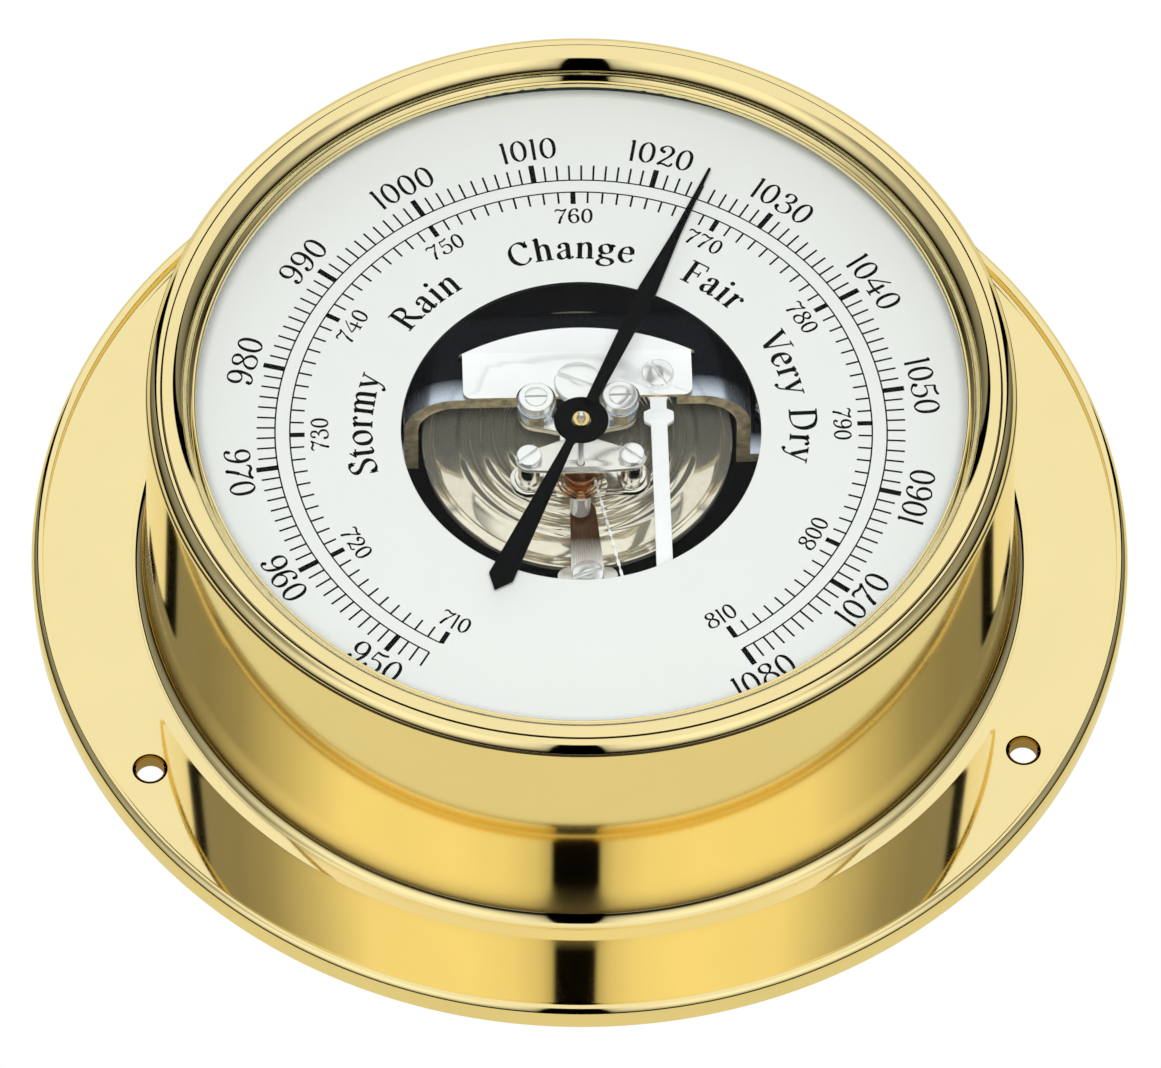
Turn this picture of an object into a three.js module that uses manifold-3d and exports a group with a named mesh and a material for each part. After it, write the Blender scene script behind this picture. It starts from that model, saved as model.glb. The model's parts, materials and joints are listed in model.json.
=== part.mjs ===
// Aneroid barometer in a brass case with a mounting flange, dial diameter 85 mm.
// Units are millimetres. The origin is the centre of the flange's back face, +Z points out of the dial
// along the pointer's arbor, and +Y points at the 760 mark of the dial.

import * as THREE from "three";
import { mergeVertices } from "three/addons/utils/BufferGeometryUtils.js";
import Module from "manifold-3d";

const wasm = await Module();
wasm.setup();

// ---------------------------------------------------------------- driving dimensions

const FULL = Math.PI * 2;
const FINE = 64; // facets of the large rings
const MEDIUM = 24; // facets of parts a few millimetres across
const SMALL = 12; // facets of screws, pins and their holes

// Case and flange
const FLANGE_R = 55;
const FLANGE_T = 1.7;
const RIM_TOP = 2.75;
const BEAD_R = 0.95; // rolled edge of the rim
const COVE_R = 1.5; // cove where the flange turns up against the drum
const RAMP_W = 0.9; // low ramp round the cove
const RAMP_RISE = 0.17;
const FOOT_R = 43.6; // the drum widens a little towards its foot
const DRUM_R = 42.6;
const BORE_R = 41.9;
const DRUM_TOP = 29.5;
const HOLE_PCD = 100;
const HOLE_R = 1.4;
const HOLE_ANGLES = [90, -30, 210];

// Stack inside the case, from the back to the front
const COVER_BOTTOM = 1.0;
const COVER_TOP = 1.9;
const BASE_BOTTOM = 2.0;
const BASE_TOP = 3.2;
const BASE_R = 30;
const SLEEVE_IN_R = 40.3;
const STACK_R = 41.8; // outside of everything that slides into the bore
const SLEEVE_TOP = 22.5;
const DIAL_BOTTOM = 22.55;
const DIAL_TOP = 23.15;
const DIAL_HOLE_R = 17.8;
const SPACER_IN_R = 41.35;
const GLASS_BOTTOM = 26.7;
const GLASS_TOP = 28.3;
const GLASS_R = 41.25;
const LIP_R = 37.95;
const CREST_TOP = 31.15;

// Movement
const CAPSULE_Y = 10.2;
const CAPSULE_R = 15.6;
const CAPSULE_RIM_Z = 6.1;
const CAPSULE_TOP = 8.6;
const STUD_R = 1.4;
const STUD_FOOT_R = 2;
const STUD_BORE_R = 0.85;
const BRIDGE_T = 1.4;
const BRIDGE_TOP = 15.2;
const BRIDGE_BOTTOM = BRIDGE_TOP - BRIDGE_T;
const BRIDGE_FRONT = 9.2;
const BRIDGE_BACK = 19.4;
const LEG_OUT = 17.4;
const BEND_X = 12; // where the flat top of the bridge starts to bend down
const FOOT_OUT = 22;
const TAB = { x: 4.2, y: 8.7, r: 1.9 };
const SPRING_BOTTOM = 15.45;
const SPRING_T = 0.4;
const LEVER_X = 8;
const LEVER_TOP = 15.4;
const LEVER_T = 0.5;
const LEVER_END = -22.3;
const LOWER_PLATE_TOP = 13.75;
const LOWER_PLATE_T = 0.8;
const PILLAR = { x: 5.1, y: 0.6, r: 1.1 };
const COCK_BOTTOM = 16.75;
const COCK_T = 0.45;
const LOWER_COCK_Z = 8.0;
const LOWER_COCK_T = 0.6;
const LOWER_SCREW = { x: 0.55, y: -7.9 };

// Rocking shaft
const SHAFT_Y = -19;
const SHAFT_Z = 5.6;
const SHAFT_R = 0.9;
const CRANK_LENGTH = 2.4;
const LINK_X = 9;
const LINK_T = 0.4;
const LINK_EYE_R = 1.05; // wide, so that the crank pin keeps clear of it while both swing
const CHAIN_Z = 15.3;
const CHAIN_ARM_X = 4.95;

// Pointer
const POINTER_ANGLE = 24.5; // degrees clockwise from the 760 mark
const POINTER_Z = 24.6;
const POINTER_T = 0.3;
const HUB_R = 2.7;
const TIP_R = 33.2;
const TAIL_R = 21.8;
const ARBOR_TOP = 26;

// ---------------------------------------------------------------- materials

function finish(color, roughness, metalness) {
  return new THREE.MeshStandardMaterial({ color, roughness, metalness });
}

const polishedBrass = () => finish(0xe3bf63, 0.12, 1);
const plainBrass = () => finish(0xcfa95a, 0.35, 1);
const copper = () => finish(0xa5633a, 0.3, 1);
const steel = () => finish(0xd9dbda, 0.3, 1);
const brightSteel = () => finish(0xe9eaea, 0.15, 1);
const satinPlate = () => finish(0xe2e5e6, 0.55, 0.6);
const nickel = () => finish(0xdcd6c6, 0.25, 1);
const whiteEnamel = () => finish(0xeceff0, 0.6, 0);
const blackPaint = () => finish(0x0a0a0a, 0.4, 0);
const blackPlastic = () => finish(0x15191b, 0.5, 0);
const clearGlass = () => {
  const material = finish(0xffffff, 0.02, 0);
  material.transparent = true;
  material.opacity = 0.25;
  return material;
};

// ---------------------------------------------------------------- geometry helpers

// A solid of revolution about Z from [radius, z] pairs, listed with the outer side going up.
function turned(profile, segments) {
  const points = profile.map(([r, z]) => new THREE.Vector2(r, z));
  const onAxis = profile[0][0] === 0 && profile[profile.length - 1][0] === 0;
  if (!onAxis) points.push(points[0].clone());
  return new THREE.LatheGeometry(points, segments).rotateX(Math.PI / 2);
}

// A flat plate: a shape in X and Y, from one height to another.
function plate(shape, bottom, top, curveSegments = 8) {
  const options = { depth: top - bottom, bevelEnabled: false, curveSegments };
  return new THREE.ExtrudeGeometry(shape, options).translate(0, 0, bottom);
}

// A shape drawn in X and Z, carried along Y.
function alongY(shape, from, to, curveSegments = 8) {
  const options = { depth: to - from, bevelEnabled: false, curveSegments };
  return new THREE.ExtrudeGeometry(shape, options).rotateX(Math.PI / 2).translate(0, to, 0);
}

// A shape drawn in Y and Z, carried along X.
function alongX(shape, from, to, curveSegments = 8) {
  const options = { depth: to - from, bevelEnabled: false, curveSegments };
  const turn = new THREE.Matrix4().makeBasis(
    new THREE.Vector3(0, 1, 0),
    new THREE.Vector3(0, 0, 1),
    new THREE.Vector3(1, 0, 0),
  );
  return new THREE.ExtrudeGeometry(shape, options).applyMatrix4(turn).translate(from, 0, 0);
}

function box(x0, x1, y0, y1, z0, z1) {
  const size = [x1 - x0, y1 - y0, z1 - z0];
  const middle = [(x0 + x1) / 2, (y0 + y1) / 2, (z0 + z1) / 2];
  return new THREE.BoxGeometry(...size).translate(...middle);
}

// A cylinder whose axis is parallel to Z.
function rod(x, y, radius, bottom, top, segments = SMALL) {
  const geometry = new THREE.CylinderGeometry(radius, radius, top - bottom, segments);
  return geometry.rotateX(Math.PI / 2).translate(x, y, (bottom + top) / 2);
}

// A cylinder whose axis is parallel to X.
function rodAlongX(y, z, radius, from, to, segments = SMALL) {
  const geometry = new THREE.CylinderGeometry(radius, radius, to - from, segments);
  return geometry.rotateZ(Math.PI / 2).translate((from + to) / 2, y, z);
}

function toSolid(geometry) {
  const bare = new THREE.BufferGeometry();
  bare.setAttribute("position", geometry.getAttribute("position").clone());
  if (geometry.index) bare.setIndex(geometry.index.clone());
  const merged = mergeVertices(bare, 1e-4);
  const vertProperties = new Float32Array(merged.getAttribute("position").array);
  const triVerts = new Uint32Array(merged.index.array);
  return new wasm.Manifold(new wasm.Mesh({ numProp: 3, vertProperties, triVerts }));
}

function toGeometry(solid) {
  const mesh = solid.getMesh();
  const geometry = new THREE.BufferGeometry();
  geometry.setAttribute("position", new THREE.BufferAttribute(mesh.vertProperties, 3));
  geometry.setIndex(new THREE.BufferAttribute(mesh.triVerts, 1));
  const flat = geometry.toNonIndexed();
  flat.computeVertexNormals();
  return flat;
}

// The first geometry, joined with the added ones and then cut by the removed ones.
function shaped(base, { add = [], cut = [] }) {
  let solid = toSolid(base);
  for (const extra of add) solid = solid.add(toSolid(extra));
  for (const tool of cut) solid = solid.subtract(toSolid(tool));
  return toGeometry(solid);
}

function circlePath(x, y, radius) {
  return new THREE.Path().absarc(x, y, radius, 0, FULL, true);
}

function polygon(points) {
  return new THREE.Shape(points.map(([x, y]) => new THREE.Vector2(x, y)));
}

// Points of an arc, as [x, y] pairs, with both ends.
function arc(cx, cy, radius, fromDegrees, toDegrees, steps) {
  const points = [];
  for (let i = 0; i <= steps; i += 1) {
    const angle = THREE.MathUtils.degToRad(fromDegrees + ((toDegrees - fromDegrees) * i) / steps);
    points.push([cx + radius * Math.cos(angle), cy + radius * Math.sin(angle)]);
  }
  return points;
}

function onCircle(radius, degrees) {
  const angle = THREE.MathUtils.degToRad(degrees);
  return [radius * Math.cos(angle), radius * Math.sin(angle)];
}

// A slotted cheese-head screw on Z. The head sits on the height `seat` and the shank goes down from it.
function screw({ x, y, seat, headR, headH, shankR, length, slotTurn = 0, facingDown = false }) {
  const chamfer = Math.min(0.2, headH / 4);
  const body = turned(
    [
      [0, -length],
      [shankR, -length],
      [shankR, 0],
      [headR, 0],
      [headR, headH - chamfer],
      [headR - chamfer, headH],
      [0, headH],
    ],
    SMALL,
  );
  const slotW = headR * 0.24;
  const slot = box(-headR * 1.1, headR * 1.1, -slotW / 2, slotW / 2, headH * 0.5, headH * 1.5);
  slot.rotateZ(THREE.MathUtils.degToRad(slotTurn));
  const geometry = shaped(body, { cut: [slot] });
  if (facingDown) geometry.rotateX(Math.PI);
  return geometry.translate(x, y, seat);
}

const barometer = new THREE.Group();

function addPiece(name, geometry, material, parent = barometer) {
  const mesh = new THREE.Mesh(geometry, material);
  mesh.name = name;
  parent.add(mesh);
}

// ---------------------------------------------------------------- case

// Drum and flange in one piece. The flange is flat between a rim bead and a cove that turns up to the drum.
function caseShell() {
  const rimCentre = FLANGE_R - BEAD_R;
  const coveCentre = FOOT_R + 0.05 + COVE_R * 0.883;
  const profile = [
    [BORE_R, 0],
    [FLANGE_R, 0],
    ...arc(rimCentre, RIM_TOP - BEAD_R, BEAD_R, 0, 100, 4),
    [rimCentre - 0.2, FLANGE_T],
    [coveCentre + RAMP_W + 0.4, FLANGE_T],
    ...arc(coveCentre, FLANGE_T + RAMP_RISE + COVE_R, COVE_R, 266, 208, 4),
    [FOOT_R, FLANGE_T + RAMP_RISE + COVE_R * 0.53],
    [DRUM_R, DRUM_TOP],
    [BORE_R, DRUM_TOP],
  ];
  const holes = HOLE_ANGLES.map((degrees) => {
    const [x, y] = onCircle(HOLE_PCD / 2, degrees);
    return rod(x, y, HOLE_R, -1, RIM_TOP + 1, MEDIUM);
  });
  return shaped(turned(profile, FINE), { cut: holes });
}

// The bezel presses on the glass with its lip, and its skirt fits inside the drum. Inside its outer bead is a
// groove, and from there the face rolls over and sweeps down to the lip.
function bezel() {
  const edgeR = 1.55;
  const edgeCentre = DRUM_R + 0.25 - edgeR;
  const groove = edgeCentre - 0.05;
  const profile = [
    [GLASS_R + 0.1, GLASS_BOTTOM + 0.05],
    [STACK_R + 0.05, GLASS_BOTTOM + 0.05],
    [STACK_R + 0.05, DRUM_TOP + 0.05],
    [DRUM_R - 0.1, DRUM_TOP + 0.05],
    ...arc(edgeCentre, CREST_TOP - 0.12 - edgeR, edgeR, 4, 82, 5),
    [groove, CREST_TOP - 0.6],
    ...arc(groove - 0.07, CREST_TOP - 2.6, 2.6, 93, 101, 1),
    ...arc(40.85, CREST_TOP - 2.23, 2.2, 106, 166, 4),
    [LIP_R + 0.25, GLASS_TOP + 0.7],
    [LIP_R, GLASS_TOP + 0.45],
    [LIP_R + 0.1, GLASS_TOP + 0.05],
    [GLASS_R + 0.1, GLASS_TOP + 0.05],
  ];
  return turned(profile, FINE);
}

function ring(inner, outer, bottom, top) {
  return turned(
    [
      [inner, bottom],
      [outer, bottom],
      [outer, top],
      [inner, top],
    ],
    FINE,
  );
}

function disc(radius, bottom, top, segments) {
  return turned(
    [
      [0, bottom],
      [radius, bottom],
      [radius, top],
      [0, top],
    ],
    segments,
  );
}

const COVER_SCREW_R = 37.6;
const COVER_SCREW_ANGLES = [30, 150, 270];
const BASE_SCREW_R = 26.6;
const BASE_SCREW_ANGLES = [15, 165, 285];

// The sleeve carries the dial and has three bosses for the cover's screws.
function innerSleeve() {
  const bosses = [];
  const holes = [];
  for (const degrees of COVER_SCREW_ANGLES) {
    const [x, y] = onCircle(COVER_SCREW_R, degrees);
    bosses.push(rod(x, y, 3.1, COVER_TOP + 0.1, 10));
    holes.push(rod(x, y, 1.05, 0, 8));
  }
  const wall = ring(SLEEVE_IN_R, STACK_R, COVER_TOP + 0.1, SLEEVE_TOP);
  return shaped(wall, { add: bosses, cut: holes });
}

function backCover() {
  const holes = [rod(0, CAPSULE_Y, 3, 0, 3, MEDIUM), rod(-8, CAPSULE_Y, 1, 0, 3), rod(8, CAPSULE_Y, 1, 0, 3)];
  for (const degrees of COVER_SCREW_ANGLES) {
    holes.push(rod(...onCircle(COVER_SCREW_R, degrees), 1.1, 0, 3));
  }
  for (const degrees of BASE_SCREW_ANGLES) {
    holes.push(rod(...onCircle(BASE_SCREW_R, degrees), 1.1, 0, 3));
  }
  return shaped(disc(STACK_R, COVER_BOTTOM, COVER_TOP, FINE), { cut: holes });
}

function buildCase() {
  addPiece("case_shell", caseShell(), polishedBrass());
  addPiece("bezel", bezel(), polishedBrass());
  addPiece("glass", disc(GLASS_R, GLASS_BOTTOM, GLASS_TOP, FINE), clearGlass());
  const spacer = ring(SPACER_IN_R, STACK_R, DIAL_TOP + 0.05, GLASS_BOTTOM - 0.05);
  addPiece("spacer_ring", spacer, blackPlastic());
  addPiece("dial", ring(DIAL_HOLE_R, STACK_R, DIAL_BOTTOM, DIAL_TOP), whiteEnamel());
  addPiece("inner_sleeve", innerSleeve(), blackPlastic());
  addPiece("back_cover", backCover(), blackPaint());
  COVER_SCREW_ANGLES.forEach((degrees, i) => {
    const [x, y] = onCircle(COVER_SCREW_R, degrees);
    const shape = { x, y, seat: COVER_BOTTOM - 0.03, headR: 1.9, headH: 0.75, shankR: 0.95, length: 5 };
    addPiece(`cover_screw_${i + 1}`, screw({ ...shape, facingDown: true, slotTurn: 40 * i }), steel());
  });
}

// ---------------------------------------------------------------- movement frame

function basePlate() {
  const holes = [rod(0, CAPSULE_Y, 1.4, 0, 5)];
  for (const degrees of BASE_SCREW_ANGLES) {
    holes.push(rod(...onCircle(BASE_SCREW_R, degrees), 1.05, 0, 5));
  }
  for (const side of [-1, 1]) holes.push(rod(side * 19.8, 14.3, 0.95, 0, 5));
  return shaped(disc(BASE_R, BASE_BOTTOM, BASE_TOP, FINE), { cut: holes });
}

// Section of the bridge: feet turned outwards, legs, round bends and a flat top.
function bridgeSection() {
  const foot = BASE_TOP + 0.05;
  const legIn = LEG_OUT - BRIDGE_T;
  const bendOut = LEG_OUT - BEND_X;
  const bendIn = legIn - BEND_X;
  const bendZ = BRIDGE_TOP - bendOut;
  return polygon([
    [legIn, foot],
    [FOOT_OUT, foot],
    [FOOT_OUT, foot + BRIDGE_T],
    [LEG_OUT, foot + BRIDGE_T],
    ...arc(BEND_X, bendZ, bendOut, 0, 90, 8),
    ...arc(-BEND_X, bendZ, bendOut, 90, 180, 8),
    [-LEG_OUT, foot + BRIDGE_T],
    [-FOOT_OUT, foot + BRIDGE_T],
    [-FOOT_OUT, foot],
    [-legIn, foot],
    ...arc(-BEND_X, bendZ, bendIn, 180, 90, 8),
    ...arc(BEND_X, bendZ, bendIn, 90, 0, 8),
  ]);
}

function bridge() {
  const strap = alongY(bridgeSection(), BRIDGE_FRONT, BRIDGE_BACK);
  const tabs = [-1, 1].map((side) => rod(side * TAB.x, TAB.y, TAB.r, BRIDGE_BOTTOM, BRIDGE_TOP, MEDIUM));
  const seat = box(-10, 10, 16.9, BRIDGE_BACK, BRIDGE_TOP - 0.2, SPRING_BOTTOM - 0.04);
  const cut = [
    rod(0, CAPSULE_Y, 2.4, BRIDGE_BOTTOM - 1, BRIDGE_TOP + 1, MEDIUM),
    box(LEVER_X - 1.9, LEVER_X + 1.9, BRIDGE_FRONT - 1, 13.4, BRIDGE_BOTTOM - 1, BRIDGE_TOP + 1),
  ];
  for (const side of [-1, 1]) {
    cut.push(rod(side * TAB.x, TAB.y, 0.9, BRIDGE_BOTTOM - 1, BRIDGE_TOP + 1));
    cut.push(rod(side * 19.8, 14.3, 0.95, BASE_TOP - 1, BASE_TOP + 3));
  }
  return shaped(strap, { add: [...tabs, seat], cut });
}

// The lower plate hangs under the bridge. It is waisted, with a gap in front for the arbor.
function lowerPlate() {
  const endR = 1.9;
  const neck = 1.9;
  const outline = polygon([
    ...arc(PILLAR.x, PILLAR.y, endR, -90, 100, 6),
    [neck, 3.4],
    [neck, 6.2],
    ...arc(TAB.x, TAB.y, endR, -80, 90, 5),
    ...arc(0, CAPSULE_Y, 2.4, 0, -180, 10),
    ...arc(-TAB.x, TAB.y, endR, 90, 260, 5),
    [-neck, 6.2],
    [-neck, 3.4],
    ...arc(-PILLAR.x, PILLAR.y, endR, 80, 270, 6),
    ...arc(0, 0, 2.7, 207, -27, 12),
  ]);
  for (const side of [-1, 1]) {
    outline.holes.push(circlePath(side * TAB.x, TAB.y, 0.9));
  }
  return plate(outline, LOWER_PLATE_TOP - LOWER_PLATE_T, LOWER_PLATE_TOP, 6);
}

function pillar() {
  const foot = LOWER_PLATE_TOP + 0.05;
  return turned(
    [
      [0, foot],
      [PILLAR.r + 0.35, foot],
      [PILLAR.r + 0.35, foot + 0.4],
      [PILLAR.r, foot + 0.4],
      [PILLAR.r, COCK_BOTTOM - 0.03],
      [0.65, COCK_BOTTOM - 0.03],
      [0.65, foot + 0.6],
      [0, foot + 0.6],
    ],
    SMALL,
  );
}

// The upper cock joins the two pillars and holds the arbor's upper bearing. It is deeper behind the arbor.
function upperCock() {
  const endR = 1.35;
  const waistFront = -0.95;
  const outline = polygon([
    [2, waistFront],
    ...arc(PILLAR.x, PILLAR.y, endR, -75, 90, 6),
    [4, 1.95],
    [1.6, 2.9],
    [-1.6, 2.9],
    [-4, 1.95],
    ...arc(-PILLAR.x, PILLAR.y, endR, 90, 255, 6),
    [-2, waistFront],
  ]);
  outline.holes.push(circlePath(0, 0, 0.42));
  for (const side of [-1, 1]) outline.holes.push(circlePath(side * PILLAR.x, PILLAR.y, 0.65));
  return plate(outline, COCK_BOTTOM, COCK_BOTTOM + COCK_T, 4);
}

// The lower cock is a tapered strip with the arbor's lower bearing in its tip.
function lowerCock() {
  const { x, y } = LOWER_SCREW;
  const outline = polygon([
    ...arc(0.3, 0, 1.3, 0, 180, 6),
    [x - 1.65, y + 1],
    ...arc(x, y - 0.3, 1.7, 170, 370, 8),
    [x + 1.65, y + 1],
  ]);
  outline.holes.push(circlePath(0, 0, 0.28));
  outline.holes.push(circlePath(x, y, 0.9));
  return plate(outline, LOWER_COCK_Z, LOWER_COCK_Z + LOWER_COCK_T, 4);
}

function lowerCockPost() {
  const { x, y } = LOWER_SCREW;
  const outline = polygon([
    ...arc(x + 2.0, y + 0.6, 1, 0, 90, 3),
    ...arc(x - 2.0, y + 0.6, 1, 90, 180, 3),
    [x - 3, y - 4.4],
    [x + 3, y - 4.4],
  ]);
  const block = plate(outline, BASE_TOP + 0.05, LOWER_COCK_Z - 0.04);
  return shaped(block, { cut: [rod(x, y, 0.9, 5.2, LOWER_COCK_Z + 1)] });
}

function buildFrame() {
  addPiece("base_plate", basePlate(), steel());
  BASE_SCREW_ANGLES.forEach((degrees, i) => {
    const [x, y] = onCircle(BASE_SCREW_R, degrees);
    const shape = { x, y, seat: COVER_BOTTOM - 0.03, headR: 1.9, headH: 0.75, shankR: 0.95, length: 2.1 };
    addPiece(`movement_screw_${i + 1}`, screw({ ...shape, facingDown: true, slotTurn: 25 + 50 * i }), steel());
  });
  addPiece("bridge", bridge(), steel());
  addPiece("lower_plate", lowerPlate(), nickel());
  addPiece("upper_cock", upperCock(), nickel());
  for (const [label, side] of [["left", -1], ["right", 1]]) {
    const foot = { x: side * 19.8, y: 14.3, seat: BASE_TOP + 0.08 + BRIDGE_T, headR: 1.7, headH: 1 };
    addPiece(`bridge_screw_${label}`, screw({ ...foot, shankR: 0.85, length: 2.5 }), steel());
    const tab = { x: side * TAB.x, y: TAB.y, seat: BRIDGE_TOP + 0.03, headR: 1.75, headH: 1.15 };
    addPiece(`plate_screw_${label}`, screw({ ...tab, shankR: 0.8, length: 2.2 }), brightSteel());
    addPiece(`pillar_${label}`, pillar().translate(side * PILLAR.x, PILLAR.y, 0), nickel());
    const top = { x: side * PILLAR.x, y: PILLAR.y, seat: COCK_BOTTOM + COCK_T + 0.03, headR: 1.25, headH: 0.75 };
    const turn = side < 0 ? 40 : -40;
    addPiece(`pillar_screw_${label}`, screw({ ...top, shankR: 0.55, length: 2.4, slotTurn: turn }), brightSteel());
  }
  addPiece("lower_cock", lowerCock(), nickel());
  addPiece("lower_cock_post", lowerCockPost(), steel());
  const seat = LOWER_COCK_Z + LOWER_COCK_T + 0.03;
  const lowerScrew = { ...LOWER_SCREW, seat, headR: 1.6, headH: 0.75, shankR: 0.8, length: 3, slotTurn: 20 };
  addPiece("lower_cock_screw", screw(lowerScrew), brightSteel());
}

// ---------------------------------------------------------------- capsule and mainspring

const WAVES = 4;
const WAVE_IN_R = 4.8;
const WAVE_OUT_R = 14.2;

// Upper diaphragm: rings of corrugation that rise towards a flat centre.
function capsuleUpper() {
  const skin = 0.22;
  const steps = WAVES * 2 + 1;
  const crest = [];
  for (let i = 0; i <= steps; i += 1) {
    const share = i / steps;
    const r = WAVE_IN_R + (WAVE_OUT_R - WAVE_IN_R) * share;
    const wave = i % 2 === 0 ? 0.32 : -0.32;
    crest.push([r, CAPSULE_TOP - 0.3 - 1.3 * share + wave]);
  }
  const above = [
    [CAPSULE_R, CAPSULE_RIM_Z + 0.5],
    [CAPSULE_R - 0.9, CAPSULE_RIM_Z + 0.55],
    ...crest.slice().reverse(),
    [WAVE_IN_R - 0.4, CAPSULE_TOP],
    [0, CAPSULE_TOP],
  ];
  const below = above.map(([r, z]) => [r, z - skin]).reverse();
  below[below.length - 1] = [CAPSULE_R, CAPSULE_RIM_Z + 0.15];
  return turned([...below, ...above], 36).translate(0, CAPSULE_Y, 0);
}

function capsuleLower() {
  const skin = 0.22;
  const bottom = BASE_TOP + 0.15;
  const outside = [
    [0, bottom],
    [5.5, bottom],
    [7, bottom + 0.7],
    [9.5, bottom + 0.5],
    [12, bottom + 1.3],
    [14.4, CAPSULE_RIM_Z - 0.3],
    [CAPSULE_R, CAPSULE_RIM_Z - 0.2],
  ];
  const inside = outside.map(([r, z]) => [r, z + skin]).reverse();
  return turned([...outside, ...inside], 36).translate(0, CAPSULE_Y, 0);
}

function capsuleStud() {
  const bottom = CAPSULE_TOP + 0.35;
  const foot = bottom + 0.8;
  const boreEnd = SPRING_BOTTOM - 3;
  return turned(
    [
      [0, bottom],
      [STUD_FOOT_R, bottom],
      [STUD_FOOT_R, foot - 0.3],
      [STUD_FOOT_R - 0.3, foot],
      [STUD_R, foot],
      [STUD_R, SPRING_BOTTOM - 0.05],
      [STUD_BORE_R, SPRING_BOTTOM - 0.05],
      [STUD_BORE_R, boreEnd],
      [0, boreEnd],
    ],
    MEDIUM,
  ).translate(0, CAPSULE_Y, 0);
}

// A flat leaf with an arched rear edge and two notches round the plate screws.
function mainspring() {
  const half = 11.45;
  const front = 8.95;
  const corner = 0.9;
  const outline = polygon([
    [half, 14.3],
    ...arc(0, -6.6, 23.9, 60.5, 119.5, 14),
    [-half, 14.3],
    ...arc(-half + corner, front + corner, corner, 180, 270, 3),
    ...arc(half - corner, front + corner, corner, 270, 360, 3),
  ]);
  outline.holes.push(circlePath(0, CAPSULE_Y, STUD_BORE_R));
  outline.holes.push(circlePath(LEVER_X, 11.1, 0.8));
  const leaf = plate(outline, SPRING_BOTTOM, SPRING_BOTTOM + SPRING_T, 6);
  const notches = [-1, 1].map((side) => rod(side * TAB.x, TAB.y, 2, SPRING_BOTTOM - 1, SPRING_BOTTOM + 1, MEDIUM));
  return shaped(leaf, { cut: notches });
}

// A long strip from the mainspring's clamp screw to the link, with small shoulders near the bridge.
function mainLever() {
  const w = 0.82;
  const outline = polygon([
    [LEVER_X + 1.3, 12.4],
    [LEVER_X - 1.3, 12.4],
    [LEVER_X - 1.3, 9.6],
    [LEVER_X - w, 8.6],
    [LEVER_X - w, 7.5],
    [LEVER_X - 1.5, 7.1],
    [LEVER_X - 1.5, 6.3],
    [LEVER_X - w, 5.9],
    [LEVER_X - w, LEVER_END],
    [LEVER_X + w, LEVER_END],
    [LEVER_X + w, 5.9],
    [LEVER_X + 1.5, 6.3],
    [LEVER_X + 1.5, 7.1],
    [LEVER_X + w, 7.5],
    [LEVER_X + w, 8.6],
    [LEVER_X + 1.3, 9.6],
  ]);
  outline.holes.push(circlePath(LEVER_X, 11.1, 0.8));
  return plate(outline, LEVER_TOP - LEVER_T, LEVER_TOP, 6);
}

// The link hangs from the lever's end. Its eye has room round the crank pin.
function link() {
  const pinY = SHAFT_Y - CRANK_LENGTH;
  const top = LEVER_TOP - LEVER_T - 0.05;
  const outline = polygon([
    [pinY - 0.7, top],
    ...arc(pinY, SHAFT_Z, LINK_EYE_R + 0.5, 180, 360, 8),
    [pinY + 0.7, top],
  ]);
  outline.holes.push(circlePath(pinY, SHAFT_Z, LINK_EYE_R));
  const strip = alongX(outline, LINK_X, LINK_X + LINK_T, 8);
  const flange = box(LEVER_X - 0.7, LINK_X + LINK_T, pinY - 0.7, pinY + 0.7, top - LINK_T, top);
  return shaped(strip, { add: [flange] });
}

function buildCapsule() {
  addPiece("capsule_lower", capsuleLower(), nickel());
  addPiece("capsule_upper", capsuleUpper(), nickel());
  addPiece("capsule_stud", capsuleStud(), copper());
  addPiece("mainspring", mainspring(), satinPlate());
  const seat = SPRING_BOTTOM + SPRING_T + 0.05;
  const large = { x: 0, y: CAPSULE_Y, seat, headR: 2.35, headH: 0.85, shankR: 0.75, length: 3, slotTurn: -25 };
  addPiece("stud_screw", screw(large), brightSteel());
  addPiece("main_lever", mainLever(), satinPlate());
  const clamp = { x: LEVER_X, y: 11.1, seat, headR: 1.6, headH: 0.85, shankR: 0.7, length: 1.6, slotTurn: -62 };
  addPiece("lever_screw", screw(clamp), brightSteel());
  addPiece("link", link(), steel());
  const adjuster = { x: 0, y: CAPSULE_Y, seat: 1.95, headR: 2.3, headH: 1.3, shankR: 1.3, length: 1.3 };
  addPiece("regulating_screw", screw({ ...adjuster, facingDown: true }), plainBrass());
}

// ---------------------------------------------------------------- rocking shaft

const SHAFT_FROM = 2.3;
const SHAFT_TO = 10.7;

// The shaft has a neck where the link's eye swings past it.
function rockingShaft() {
  const neck = { r: 0.5, from: LINK_X - 0.3, to: LINK_X + LINK_T + 0.3 };
  const long = rodAlongX(SHAFT_Y, SHAFT_Z, SHAFT_R, SHAFT_FROM, neck.from, SMALL);
  const thin = rodAlongX(SHAFT_Y, SHAFT_Z, neck.r, neck.from - 0.2, neck.to + 0.2, SMALL);
  const short = rodAlongX(SHAFT_Y, SHAFT_Z, SHAFT_R, neck.to, SHAFT_TO, SMALL);
  return shaped(long, { add: [thin, short] });
}

function crankArm() {
  const pinY = SHAFT_Y - CRANK_LENGTH;
  const outline = polygon([
    ...arc(SHAFT_Y, SHAFT_Z, 1.4, -100, 100, 8),
    ...arc(pinY, SHAFT_Z, 0.8, 100, 260, 6),
  ]);
  outline.holes.push(circlePath(SHAFT_Y, SHAFT_Z, SHAFT_R + 0.06));
  const web = alongX(outline, LEVER_X - 0.6, LEVER_X + 0.2, 8);
  const pin = rodAlongX(pinY, SHAFT_Z, 0.4, LEVER_X, LEVER_X + 1.9);
  return shaped(web, { add: [pin] });
}

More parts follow.
